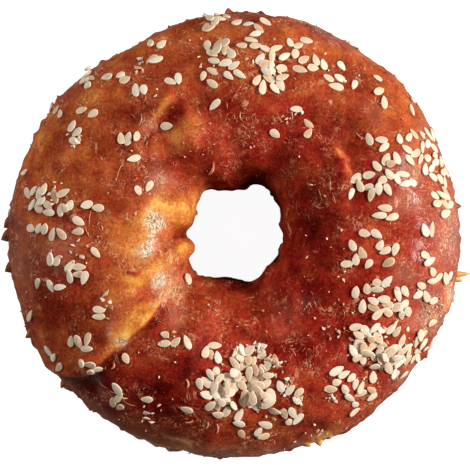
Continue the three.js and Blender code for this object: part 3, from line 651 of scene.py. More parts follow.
# %% Sizes and patches of the seeds
SEED_LENGTH, SEED_WIDTH = 3.2, 2.0
SEED_SPACING, SEED_TRIES = 2.35, 60  # mm from seed to seed, and places that are drawn for each seed
SEED_SHARE, SEED_DRAW = 0.38, 4711  # how many of a patch's seeds the first draw lays, and where its chance starts
SEED_PATCHES = [  # x, y, half length, half width, turn in degrees, seeds
    # top
    (-2.6, 47.3, 4.6, 1.2, -4, 7), (-6.4, 45.6, 1.4, 0.7, -20, 2), (4.8, 45.6, 2.4, 2.2, 0, 4),
    (3.8, 41.2, 2.6, 1, 0, 3), (-3.2, 40.4, 3.6, 1.8, 0, 7), (-5.6, 35.6, 2.2, 2.6, 0, 4),
    (-0.6, 36.4, 2, 2.6, 20, 4), (7.6, 38, 3, 2.8, 0, 8), (7.4, 33.6, 3, 2.2, 0, 7),
    (13.8, 40.6, 2.8, 2.6, -30, 5), (16.2, 37.2, 3.4, 1.2, 12, 4),
    # upper right
    (23.4, 34.6, 3.6, 2.6, -10, 5), (30.8, 32.4, 1.2, 4.2, 20, 3), (38.4, 28, 0.9, 2.4, -10, 3),
    (12.8, 27.5, 0.8, 0.5, 20, 2), (15.6, 22.4, 0.5, 2, 0, 2), (8.2, 22.2, 0.8, 1.2, 30, 2),
    (31, 20.6, 2.4, 1.6, -20, 3), (37, 20.8, 2, 2.4, -30, 4), (41.8, 21.6, 1.8, 2, -20, 4),
    (41.8, 16.6, 2.2, 2.6, 0, 6), (33, 16.6, 1.9, 1, 0, 3), (35.6, 12.2, 2.9, 1.4, -20, 5),
    (29.2, 11, 4, 2.2, -10, 8), (45.4, 12.4, 1, 2.4, 15, 3),
    # right
    (45.2, 7.6, 1.8, 2.8, 0, 7), (33, 4.4, 3, 1.8, -15, 4), (42, 1.4, 1.6, 0.6, 0, 2),
    (30, 0.3, 2.6, 0.4, 0, 2), (32.6, -3.8, 2, 2.4, 40, 4), (26.4, -5.6, 2.4, 2.4, 20, 4),
    (41.2, -4.4, 0.5, 1.5, 15, 2), (44.4, -9, 2.4, 1.2, 15, 4), (29.2, -11, 3.8, 1.6, 15, 6),
    (30.4, -15.2, 3.6, 1.7, -5, 7), (36.2, -14.4, 1.6, 2.8, 0, 6), (41, -12.4, 2.6, 1.9, -30, 4),
    # lower right
    (30.6, -20.2, 5, 0.9, -8, 6), (28.6, -24, 3.6, 2.8, 0, 13), (32.4, -26.6, 3.4, 2.6, 0, 12),
    (37, -24.8, 3.4, 2.8, 0, 11), (41, -23.4, 1.9, 2.8, 20, 7), (34.6, -30.2, 3, 0.6, -10, 3),
    (22.4, -31.4, 2.2, 2.6, 30, 4), (25.4, -33.6, 1.8, 1.8, 0, 4), (29.4, -32.8, 0.8, 2.4, 0, 3),
    (25.8, -38, 0.6, 1.4, 0, 2),
    # bottom
    (3, -27, 4.2, 1.9, -15, 10), (-4.4, -32.6, 3.4, 3.6, 0, 15), (2.8, -31, 4.6, 2.2, 0, 14),
    (4.4, -34.8, 3.8, 2.2, 0, 13), (-3.4, -37, 2.2, 1.6, 0, 5), (11.6, -33.8, 2.4, 1.6, -40, 4),
    (11, -38.9, 3, 1.4, -20, 5), (0.8, -40.6, 0.8, 2.6, 10, 3), (5.2, -42.2, 1.6, 1.8, 0, 3),
    (-5.2, -25.6, 1.4, 2, 0, 4), (-10.6, -37.4, 0.4, 0.4, 0, 1),
    # lower left
    (-13.6, -22.6, 3.6, 1.5, 0, 4), (-10.8, -9.7, 0.4, 0.4, 0, 1), (-19.5, -35.4, 0.4, 0.4, 0, 1),
    (-25.6, -35.6, 1.4, 3, 10, 4), (-23.9, -26.6, 0.4, 0.4, 0, 1), (-31.4, -28, 2, 1.1, 0, 4),
    (-39.4, -27, 2.8, 0.7, -50, 3), (-33.4, -23.2, 2.4, 1.4, -20, 4), (-29.7, -17.3, 0.4, 1.2, 0, 2),
    (-44.4, -17.2, 0.4, 0.4, 0, 1),
    # left
    (-40.4, -10.4, 4, 1.6, 10, 3), (-34.4, -7.8, 2.2, 1.8, -20, 5), (-39.2, -5.2, 1.5, 1.5, 0, 3),
    (-30.6, -3.6, 0.4, 0.4, 0, 1), (-34.4, 0.4, 0.8, 3, 0, 2), (-41.8, 1.2, 4.2, 1.4, -10, 5),
    (-40.4, 6.2, 4.8, 1.4, 0, 8), (-31.8, 6.6, 2.4, 0.8, 0, 2), (-41.4, 9.2, 4.2, 1, 0, 6),
    (-20.1, 10, 3, 0.5, 15, 2),
    # upper left
    (-22.2, 16.9, 0.4, 0.4, 0, 1), (-23.4, 21.4, 1.7, 1, 0, 3), (-35.4, 21.2, 1.2, 2.8, 10, 3),
    (-31.6, 26.8, 2.2, 0.7, -18, 2), (-38.6, 26.9, 2, 1.6, -40, 3), (-32.2, 34, 2.4, 0.9, 52, 5),
    (-25.4, 34.6, 3.2, 0.8, -5, 3), (-21.8, 31.4, 1.5, 0.7, -55, 2), (-13.8, 33.5, 2, 0.6, 25, 2),
    (-18, 38.2, 0.8, 0.8, 0, 2), (-17.8, 42, 2.6, 0.6, 0, 2), (-15, 24, 0.4, 0.4, 0, 1),
    (-4.6, 28.6, 0.4, 0.4, 0, 1), (-46.4, 14, 0.4, 0.6, 0, 1),
]
WALL_SEEDS, WALL_SECTION = 26, (-34, 6)  # strewn low on the wall, between two section angles
print("seeds to lay:", sum(patch[5] for patch in SEED_PATCHES) + WALL_SEEDS)


# %% Numbers by chance that repeat
def chance(seed):
    """Numbers from 0 to 1, the same ones each time for the same seed."""
    state = seed & 0xFFFFFFFF
    while True:
        state = (state * 1664525 + 1013904223) & 0xFFFFFFFF
        yield state / 4294967296


def patch_draws(patch, seed, tries):
    """Places in a patch, drawn by chance: x, y and the seed's heading."""
    x, y, long_half, wide_half, turn, _ = patch
    source = chance(seed)
    draws = np.array([[next(source) for _ in range(3)] for _ in range(tries)])
    spread, angle, heading = np.sqrt(draws[:, 0]), 2 * np.pi * draws[:, 1], 2 * np.pi * draws[:, 2]
    u, v = long_half * spread * np.cos(angle), wide_half * spread * np.sin(angle)
    cos, sin = math.cos(math.radians(turn)), math.sin(math.radians(turn))
    return np.stack([x + u * cos - v * sin, y + u * sin + v * cos, heading], axis=-1)


# %% Lay the seeds
def lay_seeds(seeds, points, places, wanted):
    """Adds places to seeds until there are as many as wanted, none too near to another."""
    laid = 0
    for point, place in zip(points, places):
        if laid >= wanted:
            break
        if seeds and min(np.sum((np.array([s[0] for s in seeds]) - point) ** 2, axis=1)) <= SEED_SPACING**2:
            continue
        seeds.append((point, *place))
        laid += 1
    return laid


def lay_patches(seeds):
    """Draws every patch at once, and lays the first of its seeds in turn. Gives how many each patch got."""
    draws = [patch_draws(patch, SEED_DRAW + i, patch[5] * SEED_TRIES) for i, patch in enumerate(SEED_PATCHES)]
    x, y, heading = np.concatenate(draws).T
    clock, section = seen_from_above(x, y)
    points = crust_point(clock, section)
    places = np.stack([clock, section, heading], axis=-1)
    laid, start = [], 0
    for patch, draw in zip(SEED_PATCHES, draws):
        part = slice(start, start + len(draw))
        laid.append(lay_seeds(seeds, points[part], places[part], math.ceil(patch[5] * SEED_SHARE)))
        start += len(draw)
    return laid


# %% First draw, the seeds of the solid ring
seeds = []
first_laid = lay_patches(seeds)
source = chance(SEED_DRAW + len(SEED_PATCHES))
wall = np.array([[360 * next(source), WALL_SECTION[0] + (WALL_SECTION[1] - WALL_SECTION[0]) * next(source),
                  2 * np.pi * next(source)] for _ in range(WALL_SEEDS * SEED_TRIES)])
wall_points = crust_point(wall[:, 0], wall[:, 1])
lay_seeds(seeds, wall_points, wall, WALL_SEEDS * SEED_SHARE)
print("seeds in the solid ring:", len(seeds))

# %% [markdown]
# The second draw looks at outlines, not only at distances: two seeds side by side can lie closer than two end to
# end. Where a patch has more seeds than fit, they may overlap. A few late patches are laid last, in the gaps.

# %% Second draw, between and on top
HEAP_DRAW, HEAP_TRIES = 9100, 160
SEED_GROWN = (0.91, 0.83)  # mean length and width of a seed, as shares of the largest
SEED_ROOM = 4.5  # mm2 of crust that a seed wants for itself
FIT_ALONE, FIT_CROWDED, FIT_ENDS = 1.4, 0.9, (0.5, 0.98)  # share of its outline that a seed keeps clear of others
LATE_PATCHES = [  # as SEED_PATCHES
    (42.3, 20.4, 2, 3, -20, 4), (43.8, 14.6, 1.4, 2.6, 0, 3), (43.2, 9.6, 1.4, 1.6, 0, 1),
    (31.2, 14.6, 1.8, 1.2, 0, 2), (25.4, 8.8, 0.8, 0.6, 0, 1), (26, -2.2, 0.8, 0.8, 0, 1),
    (42.6, -8.4, 1.2, 0.8, 0, 1), (42.6, -19.2, 0.8, 1, 0, 1), (36.8, 20.6, 1.6, 1.6, 0, 1),
    (25.2, -31, 1, 0.8, 0, 1), (20.4, -32.4, 0.5, 0.8, 0, 1), (-20.6, 32.2, 1, 0.6, -50, 1),
    (38.4, 16.6, 1.4, 1.4, 0, 2),
]


def half_reach(tip, toward):
    """How far a seed's oval outline reaches from its middle, in a direction along the crust."""
    cos = np.abs(np.sum(tip * toward, axis=-1))
    a, b = SEED_LENGTH * SEED_GROWN[0] / 2, SEED_WIDTH * SEED_GROWN[1] / 2
    return a * b / np.hypot(b * cos, a * np.sqrt(np.maximum(1 - cos**2, 0)))


def seed_axes(places):
    """Points, normals and tip directions of seeds at rows of clock, section and heading."""
    clock, section, heading = np.asarray(places).T
    points, normals = on_crust(clock, section)
    east = east_at(clock)
    along = unit(east - normals * np.sum(east * normals, axis=-1, keepdims=True))
    tips = along * np.cos(heading)[:, None] + np.cross(normals, along) * np.sin(heading)[:, None]
    return points, normals, tips


def fill_patch(seeds, laid_axes, patch, first_draw, wanted):
    """Lays a patch's last seeds where their outlines fit, or overlap no more than the patch needs."""
    _, _, long_half, wide_half, _, count = patch
    crowd = SEED_ROOM * count / (math.pi * (long_half + 1) * (wide_half + 1))
    fit = float(np.clip(FIT_ALONE - FIT_CROWDED * crowd, *FIT_ENDS))
    x, y, heading = patch_draws(patch, first_draw, HEAP_TRIES).T
    places = np.stack([*seen_from_above(x, y), heading], axis=-1)
    points, _, tips = seed_axes(places)
    for point, tip, place in zip(points, tips, places):
        if wanted <= 0:
            return
        gaps = laid_axes[0] - point
        apart = np.maximum(np.linalg.norm(gaps, axis=1), TINY)
        toward = gaps / apart[:, None]
        if np.all(apart > fit * (half_reach(tip, toward) + half_reach(laid_axes[1], toward))):
            seeds.append((point, *place))
            laid_axes[0] = np.vstack([laid_axes[0], point])
            laid_axes[1] = np.vstack([laid_axes[1], tip])
            wanted -= 1


points, _, tips = seed_axes([s[1:4] for s in seeds])
laid_axes = [points, tips]
first_laid += [0] * len(LATE_PATCHES)
for i, patch in enumerate(SEED_PATCHES + LATE_PATCHES):
    fill_patch(seeds, laid_axes, patch, HEAP_DRAW + i, patch[5] - first_laid[i])
lay_seeds(seeds, wall_points[::-1], wall[::-1], WALL_SEEDS * (1 - SEED_SHARE))
print("seeds in all:", len(seeds))

# %% [markdown]
# Seeds that overlap have to lie on each other. Each seed looks at those laid before it: where their outlines
# would cross, it rises by the share that they cross and leans away. That is a quick stand-in for dropping them in
# a physics simulation, and it gives the same heap every time.

# %% Stack the seeds in heaps
SEED_LAYER, HEAP_LEAN = 0.72, 0.55  # mm from layer to layer, and how far a seed leans off the one under it
TOUCH_SHARE, CROSS_GAIN, LEVEL_MOST = 0.95, 2.2, 2.6  # how near counts as crossing, its lift, and the top layer
seed_points, seed_normals, seed_tips = seed_axes([s[1:4] for s in seeds])
up = np.array([0.0, 0.0, 1.0])
seed_levels = np.zeros(len(seeds))
for i in range(1, len(seeds)):
    gaps = seed_points[:i] - seed_points[i]
    apart = np.linalg.norm(gaps, axis=1)
    for j in np.flatnonzero(apart < SEED_LENGTH):
        toward = gaps[j] / max(apart[j], TINY)
        touching = half_reach(seed_tips[i], toward) + half_reach(seed_tips[j], toward)
        crossing = np.clip((touching * TOUCH_SHARE - apart[j]) / touching * CROSS_GAIN, 0, 1)
        if crossing <= 0:
            continue
        seed_levels[i] = max(seed_levels[i], seed_levels[j] + crossing)
        seed_normals[i] -= toward * HEAP_LEAN * crossing * (1 - 0.5 * min(1, seed_levels[j]))
seed_normals = unit(seed_normals)
seed_levels = np.minimum(seed_levels, LEVEL_MOST)
print("seeds lying on others:", int((seed_levels > 0.4).sum()), "highest layer", seed_levels.max().round(1))

# %% [markdown]
# One seed's shape is drawn as rings from the middle of its top, over the edge, to the middle of its underside.
# Its outline is a circle squeezed towards the tip. All the seeds share it, each with its own size, bend and tilt,
# and they are joined in one mesh, with numbers for each seed's tone, its raised edge and whether it soaked.

# %% One seed's shape
SEED_SIDES = 18
SEED_RINGS = [  # share of the outline, height in mm, how much of the pale edge
    (0.40, 0.45, 0.0), (0.62, 0.41, 0.0), (0.74, 0.38, 0.2), (0.86, 0.41, 1.0), (0.95, 0.36, 1.0),
    (1.00, 0.22, 0.9), (0.93, 0.00, 0.3), (0.60, -0.22, 0.0),
]
SEED_POLES = (0.48, -0.28)  # height of its middle, above and below


def drop_outline(sides, pointed=0.36):
    """A drop seen from above, 1 long each way from its middle, with its tip towards +X."""
    turn = 2 * np.pi * np.arange(sides) / sides
    y = np.sin(turn) * np.abs(np.sin(turn / 2)) ** pointed
    return np.stack([np.cos(turn), y / np.abs(y).max()], axis=-1)


def lens(outline, rings, poles):
    """A closed lens over an outline: its points, its triangles and its edge share."""
    points, edge = [[0, 0, poles[0]]], [0.0]
    for share, height, pale in rings:
        points += [[x * share, y * share, height] for x, y in outline]
        edge += [pale] * len(outline)
    points.append([0, 0, poles[1]])
    edge.append(0.0)
    sides, last = len(outline), len(points) - 1
    faces = []
    for i in range(sides):
        k = (i + 1) % sides
        faces.append([0, 1 + i, 1 + k])
        for ring in range(len(rings) - 1):
            a, b = 1 + ring * sides, 1 + (ring + 1) * sides
            faces += [[a + i, b + i, b + k], [a + i, b + k, a + k]]
        base = 1 + (len(rings) - 1) * sides
        faces.append([base + i, last, base + k])
    return np.array(points), np.array(faces), np.array(edge)


seed_shape = lens(drop_outline(SEED_SIDES), SEED_RINGS, SEED_POLES)
print("one seed:", len(seed_shape[0]), "points,", len(seed_shape[1]), "triangles")


# %% Many grains in one mesh
BEND_LEVEL, TAPER_LEVEL = 0.4, 0.3  # keep a bent grain level and a tapered one as wide


def strew(name, shape, centres, tips, normals, sizes, tones, bends=None, tapers=None, extra=None):
    """One mesh of many copies of a shape, each with its own place, size (length, width, height) and tone."""
    points, faces, edge = shape
    wide = unit(np.cross(normals, tips))
    tips = np.cross(wide, normals)
    x, y, z = points[:, 0][None] * sizes[:, :1] / 2, points[:, 1][None] * sizes[:, 1:2] / 2, points[:, 2][None]
    z = z * sizes[:, 2:3]
    if bends is not None:
        z = z + bends[:, None] * (points[:, 0][None] ** 2 - BEND_LEVEL)
    if tapers is not None:
        y = y * (1 - tapers[:, None] * (points[:, 0][None] + TAPER_LEVEL))
    placed = (centres[:, None] + tips[:, None] * x[..., None] + wide[:, None] * y[..., None]
              + normals[:, None] * z[..., None])
    all_faces = faces[None] + (np.arange(len(centres)) * len(points))[:, None, None]
    numbers = {"tone": np.repeat(tones, len(points)), "edge": np.tile(edge, len(centres))}
    numbers.update({key: np.repeat(values, len(points)) for key, values in (extra or {}).items()})
    return make_mesh(name, placed.reshape(-1, 3), all_faces.reshape(-1, 3), numbers)


# %% Strew the seeds
SIZES_DRAW, LENGTH_VARIES, WIDTH_VARIES, HEIGHT_VARIES = 12, 0.11, 0.09, 0.12
TONE_MEAN, TONE_VARIES, TILT_VARIES, BEND_VARIES = 0.55, 0.22, 0.10, 0.07
SOAKED_SHARE, SOAKED_DEPTH, SEED_CLEAR = 0.05, 0.30, 0.04  # share, then mm below and above the crust

random = np.random.default_rng(SIZES_DRAW)
count = len(seeds)
seed_sizes = np.stack([SEED_LENGTH * SEED_GROWN[0] * random.normal(1, LENGTH_VARIES, count),
                       SEED_WIDTH * SEED_GROWN[1] * random.normal(1, WIDTH_VARIES, count),
                       random.normal(1, HEIGHT_VARIES, count)], axis=-1)
seed_tones = np.clip(random.normal(TONE_MEAN, TONE_VARIES, count), 0, 1)
soaked = (random.random(count) < SOAKED_SHARE) & (seed_levels < 0.2)
seed_normals = unit(seed_normals + random.normal(0, TILT_VARIES, (count, 3)))
lift = SEED_CLEAR + seed_levels * SEED_LAYER - SOAKED_DEPTH * soaked
sesame = strew("sesame_seeds", seed_shape, seed_points + seed_normals * lift[:, None], seed_tips, seed_normals,
               seed_sizes, seed_tones, bends=random.normal(0, BEND_VARIES, count),
               tapers=random.uniform(-0.05, 0.17, count), extra={"soaked": soaked * 1.0})

# %% [markdown]
# ## Crumbs and broken hulls
#
# Among the seeds lie chips of broken hull and crumbs of the glaze. They are the same kind of lens as a seed, but
# with an uneven outline, thin, and tipped at all angles. Most lie in the heaps, some are strewn over the crust.

# %% Chips and crumbs
CHIP_HEAPS = [  # x, y, spread in mm, chips
    (-40.6, 9.6, 2.6, 34), (-20.6, 37, 1.3, 12), (-34.6, 20.8, 1.5, 12), (26.2, -24.4, 1.9, 26),
    (20.9, -34.6, 1.4, 10), (0.7, -25.6, 1.1, 30), (4.6, -24.5, 1.3, 26), (7.9, -27.4, 1.3, 30),
    (13.4, -35.4, 0.9, 22), (11.3, -32.1, 0.9, 16), (4.6, -33, 5.4, 16), (34, -25, 6, 24), (8, 36.6, 4, 14),
    (-6, 38, 3.6, 8), (31, -14, 5, 12), (-33.6, -5.6, 3.4, 12), (-13, -22, 3, 6), (12, 25.8, 2, 8),
    (-18.6, -38.6, 3, 10), (43.5, -16, 3, 12), (18.5, -44, 3.6, 14), (-27, -14.6, 2.4, 10), (24, -6, 1.6, 5),
    (22, -20, 2, 8),
]
HULL_FRINGE = [  # x, y, half length, half width, turn in degrees, how much larger the chips are
    (2.6, -25.2, 4, 1.6, 20, 0.5), (7.9, -27.4, 1.8, 2.4, 20, 0.5), (12.4, -34, 2.4, 3, 0, 0.4),
    (25.4, -23.8, 2, 2.6, 0, 0.7), (-40.6, 9.6, 2.6, 2, 0, 0.4),
]
CHIPS_DRAW, CHIPS_STRAY, STRAY_SIZE = 31, 90, 0.55
STRAY_BAND, CHIP_REACH = (15, 47.5), 48.6  # radii between which the strewn chips lie, and the largest for any
CHIP_SIDES = np.array([1.0, 0.72, 0.95, 0.66, 1.0, 0.8, 0.6])  # radius of each corner
CHIP_RINGS = [(0.7, 0.10, 0.2), (1.0, 0.04, 1.0), (0.7, -0.06, 0.4)]  # as SEED_RINGS
CHIP_POLES, CHIP_TILT, CHIP_SMALL = (0.12, -0.08), 0.45, 0.9  # the last in mm: what is shorter is a crumb
HEAP_CORE = 0.6  # a heap's standard deviation, as a share of its spread
chip_shape = lens(from_angle(np.arange(len(CHIP_SIDES)) * 2 * np.pi / len(CHIP_SIDES), CHIP_SIDES),
                  CHIP_RINGS, CHIP_POLES)


def heaped(random, heaps):
    """Places drawn round the middles of heaps, from rows of x, y, spread and number."""
    return np.concatenate([np.array([x, y]) + random.normal(0, spread * HEAP_CORE, (number, 2))
                           for x, y, spread, number in heaps])


random = np.random.default_rng(CHIPS_DRAW)
around = heaped(random, CHIP_HEAPS)
stray = from_angle(random.random(CHIPS_STRAY) * 2 * np.pi, random.uniform(*STRAY_BAND, CHIPS_STRAY))
spots = np.concatenate([around, stray])
spots = spots[np.hypot(*spots.T) < CHIP_REACH]
chip_points, chip_normals = on_crust(*seen_from_above(*spots.T))
count = len(spots)
chip_up = unit(chip_normals + random.normal(0, CHIP_TILT, (count, 3)))
chip_size = np.where(np.arange(count) < len(around), 1.0, STRAY_SIZE)
by_fringe = patches_at(np.column_stack([spots, np.zeros(count)]), HULL_FRINGE)
chip_length = chip_size * random.gamma(6, 0.17, count) * (1 + by_fringe)
chip_thick = np.where(chip_length < CHIP_SMALL, 2.6, 1.4)  # crumbs are round, flakes are thin
chip_sizes = np.stack([chip_length, chip_length * random.uniform(0.45, 0.8, count), chip_thick], axis=-1)
chips = strew("hull_chips", chip_shape, chip_points + chip_normals * random.uniform(0.05, 0.35, count)[:, None],
              unit(random.normal(0, 1, (count, 3))), chip_up, chip_sizes, random.random(count) + 0.3 * by_fringe)

# %% [markdown]
# ## Loose fibres
#
# The wrap is stringy, and short ends of it have dried and curled up all over. They catch the light as pale flecks.
# Hair particles would be lost in an export, so each fibre is a thin tube along its own little path: it starts on
# the crust, follows it with a random curl, and stays a hair's breadth above it.

# %% Tubes along paths
def make_tubes(name, paths, normals, radii, numbers, sides=4):
    """One mesh of thin closed tubes. paths and normals are arrays of points, radii a number for each of them."""
    tangents = unit(np.gradient(paths, axis=1))
    side = unit(np.cross(tangents, normals))
    over = np.cross(side, tangents)
    turn = 2 * np.pi * np.arange(sides) / sides
    ring = side[:, :, None] * np.cos(turn)[:, None] + over[:, :, None] * np.sin(turn)[:, None]
    wall = paths[:, :, None] + ring * radii[:, :, None, None]
    tubes, steps = paths.shape[:2]
    ends = paths[:, [0, -1]] + tangents[:, [0, -1]] * (radii[:, [0, -1], None] * np.array([-1, 1])[None, :, None])
    points = np.concatenate([wall.reshape(tubes, -1, 3), ends], axis=1)
    faces = []
    for k in range(sides):
        m = (k + 1) % sides
        for s in range(steps - 1):
            a, b = s * sides, (s + 1) * sides
            faces += [[a + k, a + m, b + m], [a + k, b + m, b + k]]
        last = (steps - 1) * sides
        faces += [[m, k, steps * sides], [last + k, last + m, steps * sides + 1]]
    faces = np.array(faces)[None] + (np.arange(tubes) * points.shape[1])[:, None, None]
    attributes = {key: np.repeat(values, points.shape[1]) for key, values in numbers.items()}
    return make_mesh(name, points.reshape(-1, 3), faces.reshape(-1, 3), attributes)


# %% Strew the fibres
def local_tone(places):
    """The crust's patch tone under places, so that a fibre can match it."""
    return np.clip(TONE_BASE + patches_at(places, TONE_PATCHES), 0, 1)


FIBRES_DRAW, FIBRES, FIBRE_STEPS = 57, 760, 8
FIBRE_LENGTH, FIBRE_RADIUS = 0.8, 0.055
FIBRE_CURL, FIBRE_TURN, HEADING_VARIES = 0.8, 1.6, 40
FIBRE_BAND, START_BAND, TRACK_BAND = (13, 48.2), (12.5, 48.3), (11.5, 48.8)  # radii: drawn, kept and reached
FIBRE_TUFTS = [  # x, y, spread, fibres
    (-13, -12.5, 4, 60), (-16, -15.5, 3, 40), (-18, 11, 3, 50), (-16, 15, 3, 30), (-18.6, 24.8, 2.4, 60),
    (-19, 21, 2.4, 40), (-24, -28.5, 4, 20), (-1.6, 25, 2.4, 40), (3, 24.6, 2, 30), (-6, 20, 4, 20),
    (18.6, 12, 3, 14), (-30.5, 2, 3, 20), (13, -26, 5, 30), (23, -19, 3, 20), (-24, 11, 4, 40),
    (30, -37, 4, 20), (37, 4, 4, 40), (44, -14, 4, 30),
]
STRANDS = [  # start x, y, heading in degrees, curl, length, radius: long ends that stand out
    (-24.6, 15.6, -122, 0.3, 4, 0.09), (-31, 6.6, -112, 0.3, 5.4, 0.1), (-32.6, 2, -82, 0.4, 3, 0.1),
    (-37.4, 9.8, -78, 0.6, 2.4, 0.08), (-27.4, -0.6, -60, 0.8, 2, 0.08), (18.6, 7.6, 96, 0.2, 3, 0.06),
    (20.4, 9.6, 80, 0.3, 3.6, 0.06), (21.6, 7, 100, 0.2, 3, 0.06), (-30, -31, -60, 0.5, 3.6, 0.12),
    (-27.6, -33.4, -40, 0.6, 3, 0.12), (-24.6, -35.6, -50, 0.6, 3.4, 0.11), (12, 25, 70, 0.7, 3, 0.12),
    (-12.6, 42.6, -30, 0.4, 3.4, 0.12), (4, -44.6, 20, 0.5, 3, 0.12), (26, 22.6, -60, 0.6, 3, 0.12),
    (-21, 24, 60, 0.5, 3, 0.12), (31.6, 13.6, -50, 0.5, 2.4, 0.12), (-16.4, 11, 100, 0.8, 3, 0.12),
    (-6, 13.4, 35, 0.8, 3.2, 0.3), (-27.1, -28.8, 20, 1.2, 2, 0.24), (-25.4, -34.2, -60, 0.8, 2.6, 0.22),
    (-10.6, -33, 60, 0.9, 2.4, 0.24), (-6.6, -42, 40, 0.8, 1.8, 0.2), (-4.2, -42.9, 65, 0.6, 2.4, 0.22),
    (-11, -40.4, -20, 0.8, 2, 0.18),
]
random = np.random.default_rng(FIBRES_DRAW)
tufts = heaped(random, FIBRE_TUFTS)
single = FIBRES - len(tufts)
starts = np.concatenate([tufts, from_angle(random.random(single) * 2 * np.pi, random.uniform(*FIBRE_BAND, single))])
start_radii = np.hypot(*starts.T)
starts = starts[(start_radii > START_BAND[0]) & (start_radii < START_BAND[1])]
strands = np.array(STRANDS)
starts = np.concatenate([strands[:, :2], starts])
count, named = len(starts), len(strands)
heading = np.radians(90 - STRING_LEAN + random.normal(0, HEADING_VARIES, count))
heading[:named] = np.radians(strands[:, 2])
curl = random.normal(0, FIBRE_CURL, count)
length = FIBRE_LENGTH * random.gamma(4, 0.25, count)
curl[:named], length[:named] = strands[:, 3], strands[:, 4]
track = [starts]
for step in range(FIBRE_STEPS - 1):
    turned = heading + curl * step / (FIBRE_STEPS - 1) * FIBRE_TURN
    track.append(track[-1] + from_angle(turned, length / FIBRE_STEPS))
track = np.stack(track, axis=1)
reach = np.hypot(track[..., 0], track[..., 1])
track *= (np.clip(reach, *TRACK_BAND) / reach)[..., None]
print(named, "named strands and", count - named, "fibres by chance")

# %% Tubes of the fibres
fibre_points, fibre_normals = on_crust(*seen_from_above(track[..., 0], track[..., 1]))
arch = np.sin(np.linspace(0, np.pi, FIBRE_STEPS))[None] * random.gamma(2, 0.05, count)[:, None] + 0.01
taper = (0.35 + 0.65 * np.sin(np.linspace(0.15, np.pi - 0.15, FIBRE_STEPS)))[None]
fibre_radii = taper * FIBRE_RADIUS * random.gamma(5, 0.2, count)[:, None]
fibre_radii[:named] = taper * strands[:, 5:6]
by_chance = np.maximum(local_tone(fibre_points[:, 0]), 0.35) + random.uniform(0.0, 0.5, count)
fibres = make_tubes("loose_fibres", fibre_points + fibre_normals * arch[..., None], fibre_normals, fibre_radii,
                    {"tone": np.where(np.arange(count) < named, 0.8, by_chance)})

# %% [markdown]
# ## Shreds at the rim
#
# Where the wrap was cut, dry shreds stick out of the rim. The large ones are in the solid ring, at named places;
# small ones are strewn between them. Each is a thick tube that starts inside the crust and thins towards its tip.

# %% Shreds
SHREDS = [  # clock angle, section angle, length, width, lean in degrees, tone
    (350.2, 2, 2.8, 2.4, 10, 1), (349, 4, 1.4, 2.8, -8, 0.8), (177, 2, 1, 5, 40, 0.1),
    (180, 4, 1.5, 5.2, 26, 0.1), (188, 2, 1.3, 4.8, 20, 0.15), (205.6, 4, 0.9, 3, 10, 0.4),
    (220.6, 6, 0.9, 3, 30, 0.5), (231, 8, 0.5, 3, -12, 0.4), (292, 6, 1, 4, 0, 0.9),
    (289, 8, 0.7, 4.4, 30, 0.7), (295, 8, 0.5, 3.4, -20, 0.8), (57, 6, 0.5, 2.4, 16, 0.4),
    (98, 6, 0.6, 3, 8, 0.3), (142, 6, 0.5, 2.6, 8, 0.3),
]
NUBS, NUB_LENGTH, NUB_WIDTH = 150, 0.24, 0.9
SHREDS_DRAW, SHRED_STEPS, LEAN_MOST = 83, 5, 60
SHRED_ROOT, SHRED_LEAST, SHRED_SLIM = 1.2, 0.05, 0.6  # mm inside the crust, least radius, share of width kept
random = np.random.default_rng(SHREDS_DRAW)
named = np.array(SHREDS)
nubs = np.stack([random.random(NUBS) * 360, random.normal(6, 13, NUBS), NUB_LENGTH * random.gamma(3, 0.33, NUBS),
                 NUB_WIDTH * random.gamma(4, 0.25, NUBS), random.normal(0, 35, NUBS), random.random(NUBS)], axis=-1)
rows = np.concatenate([named, nubs])
shred_points, shred_normals = on_crust(rows[:, 0], rows[:, 1])
level = np.stack([shred_normals[:, 0], shred_normals[:, 1], shred_normals[:, 2] * 0.3], axis=-1)
lean = np.radians(np.clip(rows[:, 4], -LEAN_MOST, LEAN_MOST))
out = unit(unit(level) + east_at(rows[:, 0]) * np.tan(lean)[:, None])
share = np.linspace(0, 1, SHRED_STEPS)
droop = random.normal(0, 0.25, len(rows))
reach = share[None] * (rows[:, 2] + SHRED_ROOT)[:, None] - SHRED_ROOT
shred_paths = (shred_points[:, None] + out[:, None] * reach[..., None]
               + up * (droop[:, None] * share[None] ** 2 * rows[:, 2:3])[..., None])
shred_radii = np.maximum(rows[:, 3:4] / 2 * (1 - 0.75 * share[None] ** 2.5), SHRED_LEAST) * SHRED_SLIM
shred_overs = np.repeat(up[None, None], len(rows), 0).repeat(SHRED_STEPS, 1)
shreds = make_tubes("rim_shreds", shred_paths, shred_overs, shred_radii, {"tone": rows[:, 5]})

# %% [markdown]
# ## Finishes
#
# The finishes share three effects, so each is a node group, built once: mottle, a soft change of tone at any size;
# strings, ridges drawn out along the wrap's fibres; and strokes, fine pale marks. Groups give only numbers. Shaders
# stay in each material.

# %% Group helpers
def new_group(name, inputs, outputs):
    """An empty shader node group with number sockets; inputs gives each one's default."""
    group = bpy.data.node_groups.new(name, "ShaderNodeTree")
    for label, default in inputs.items():
        group.interface.new_socket(label, in_out="INPUT", socket_type="NodeSocketFloat").default_value = default
    for label in outputs:
        group.interface.new_socket(label, in_out="OUTPUT", socket_type="NodeSocketFloat")
    return group, group.nodes.new("NodeGroupInput"), group.nodes.new("NodeGroupOutput")


def add(tree, kind, links=None, **settings):
    """A node in a tree, with its settings and with what feeds its sockets."""
    node = tree.nodes.new(kind)
    for key, value in settings.items():
        setattr(node, key, value)
    for socket, value in (links or {}).items():
        if isinstance(value, bpy.types.NodeSocket):
            tree.links.new(value, node.inputs[socket])
        else:
            node.inputs[socket].default_value = value
    return node


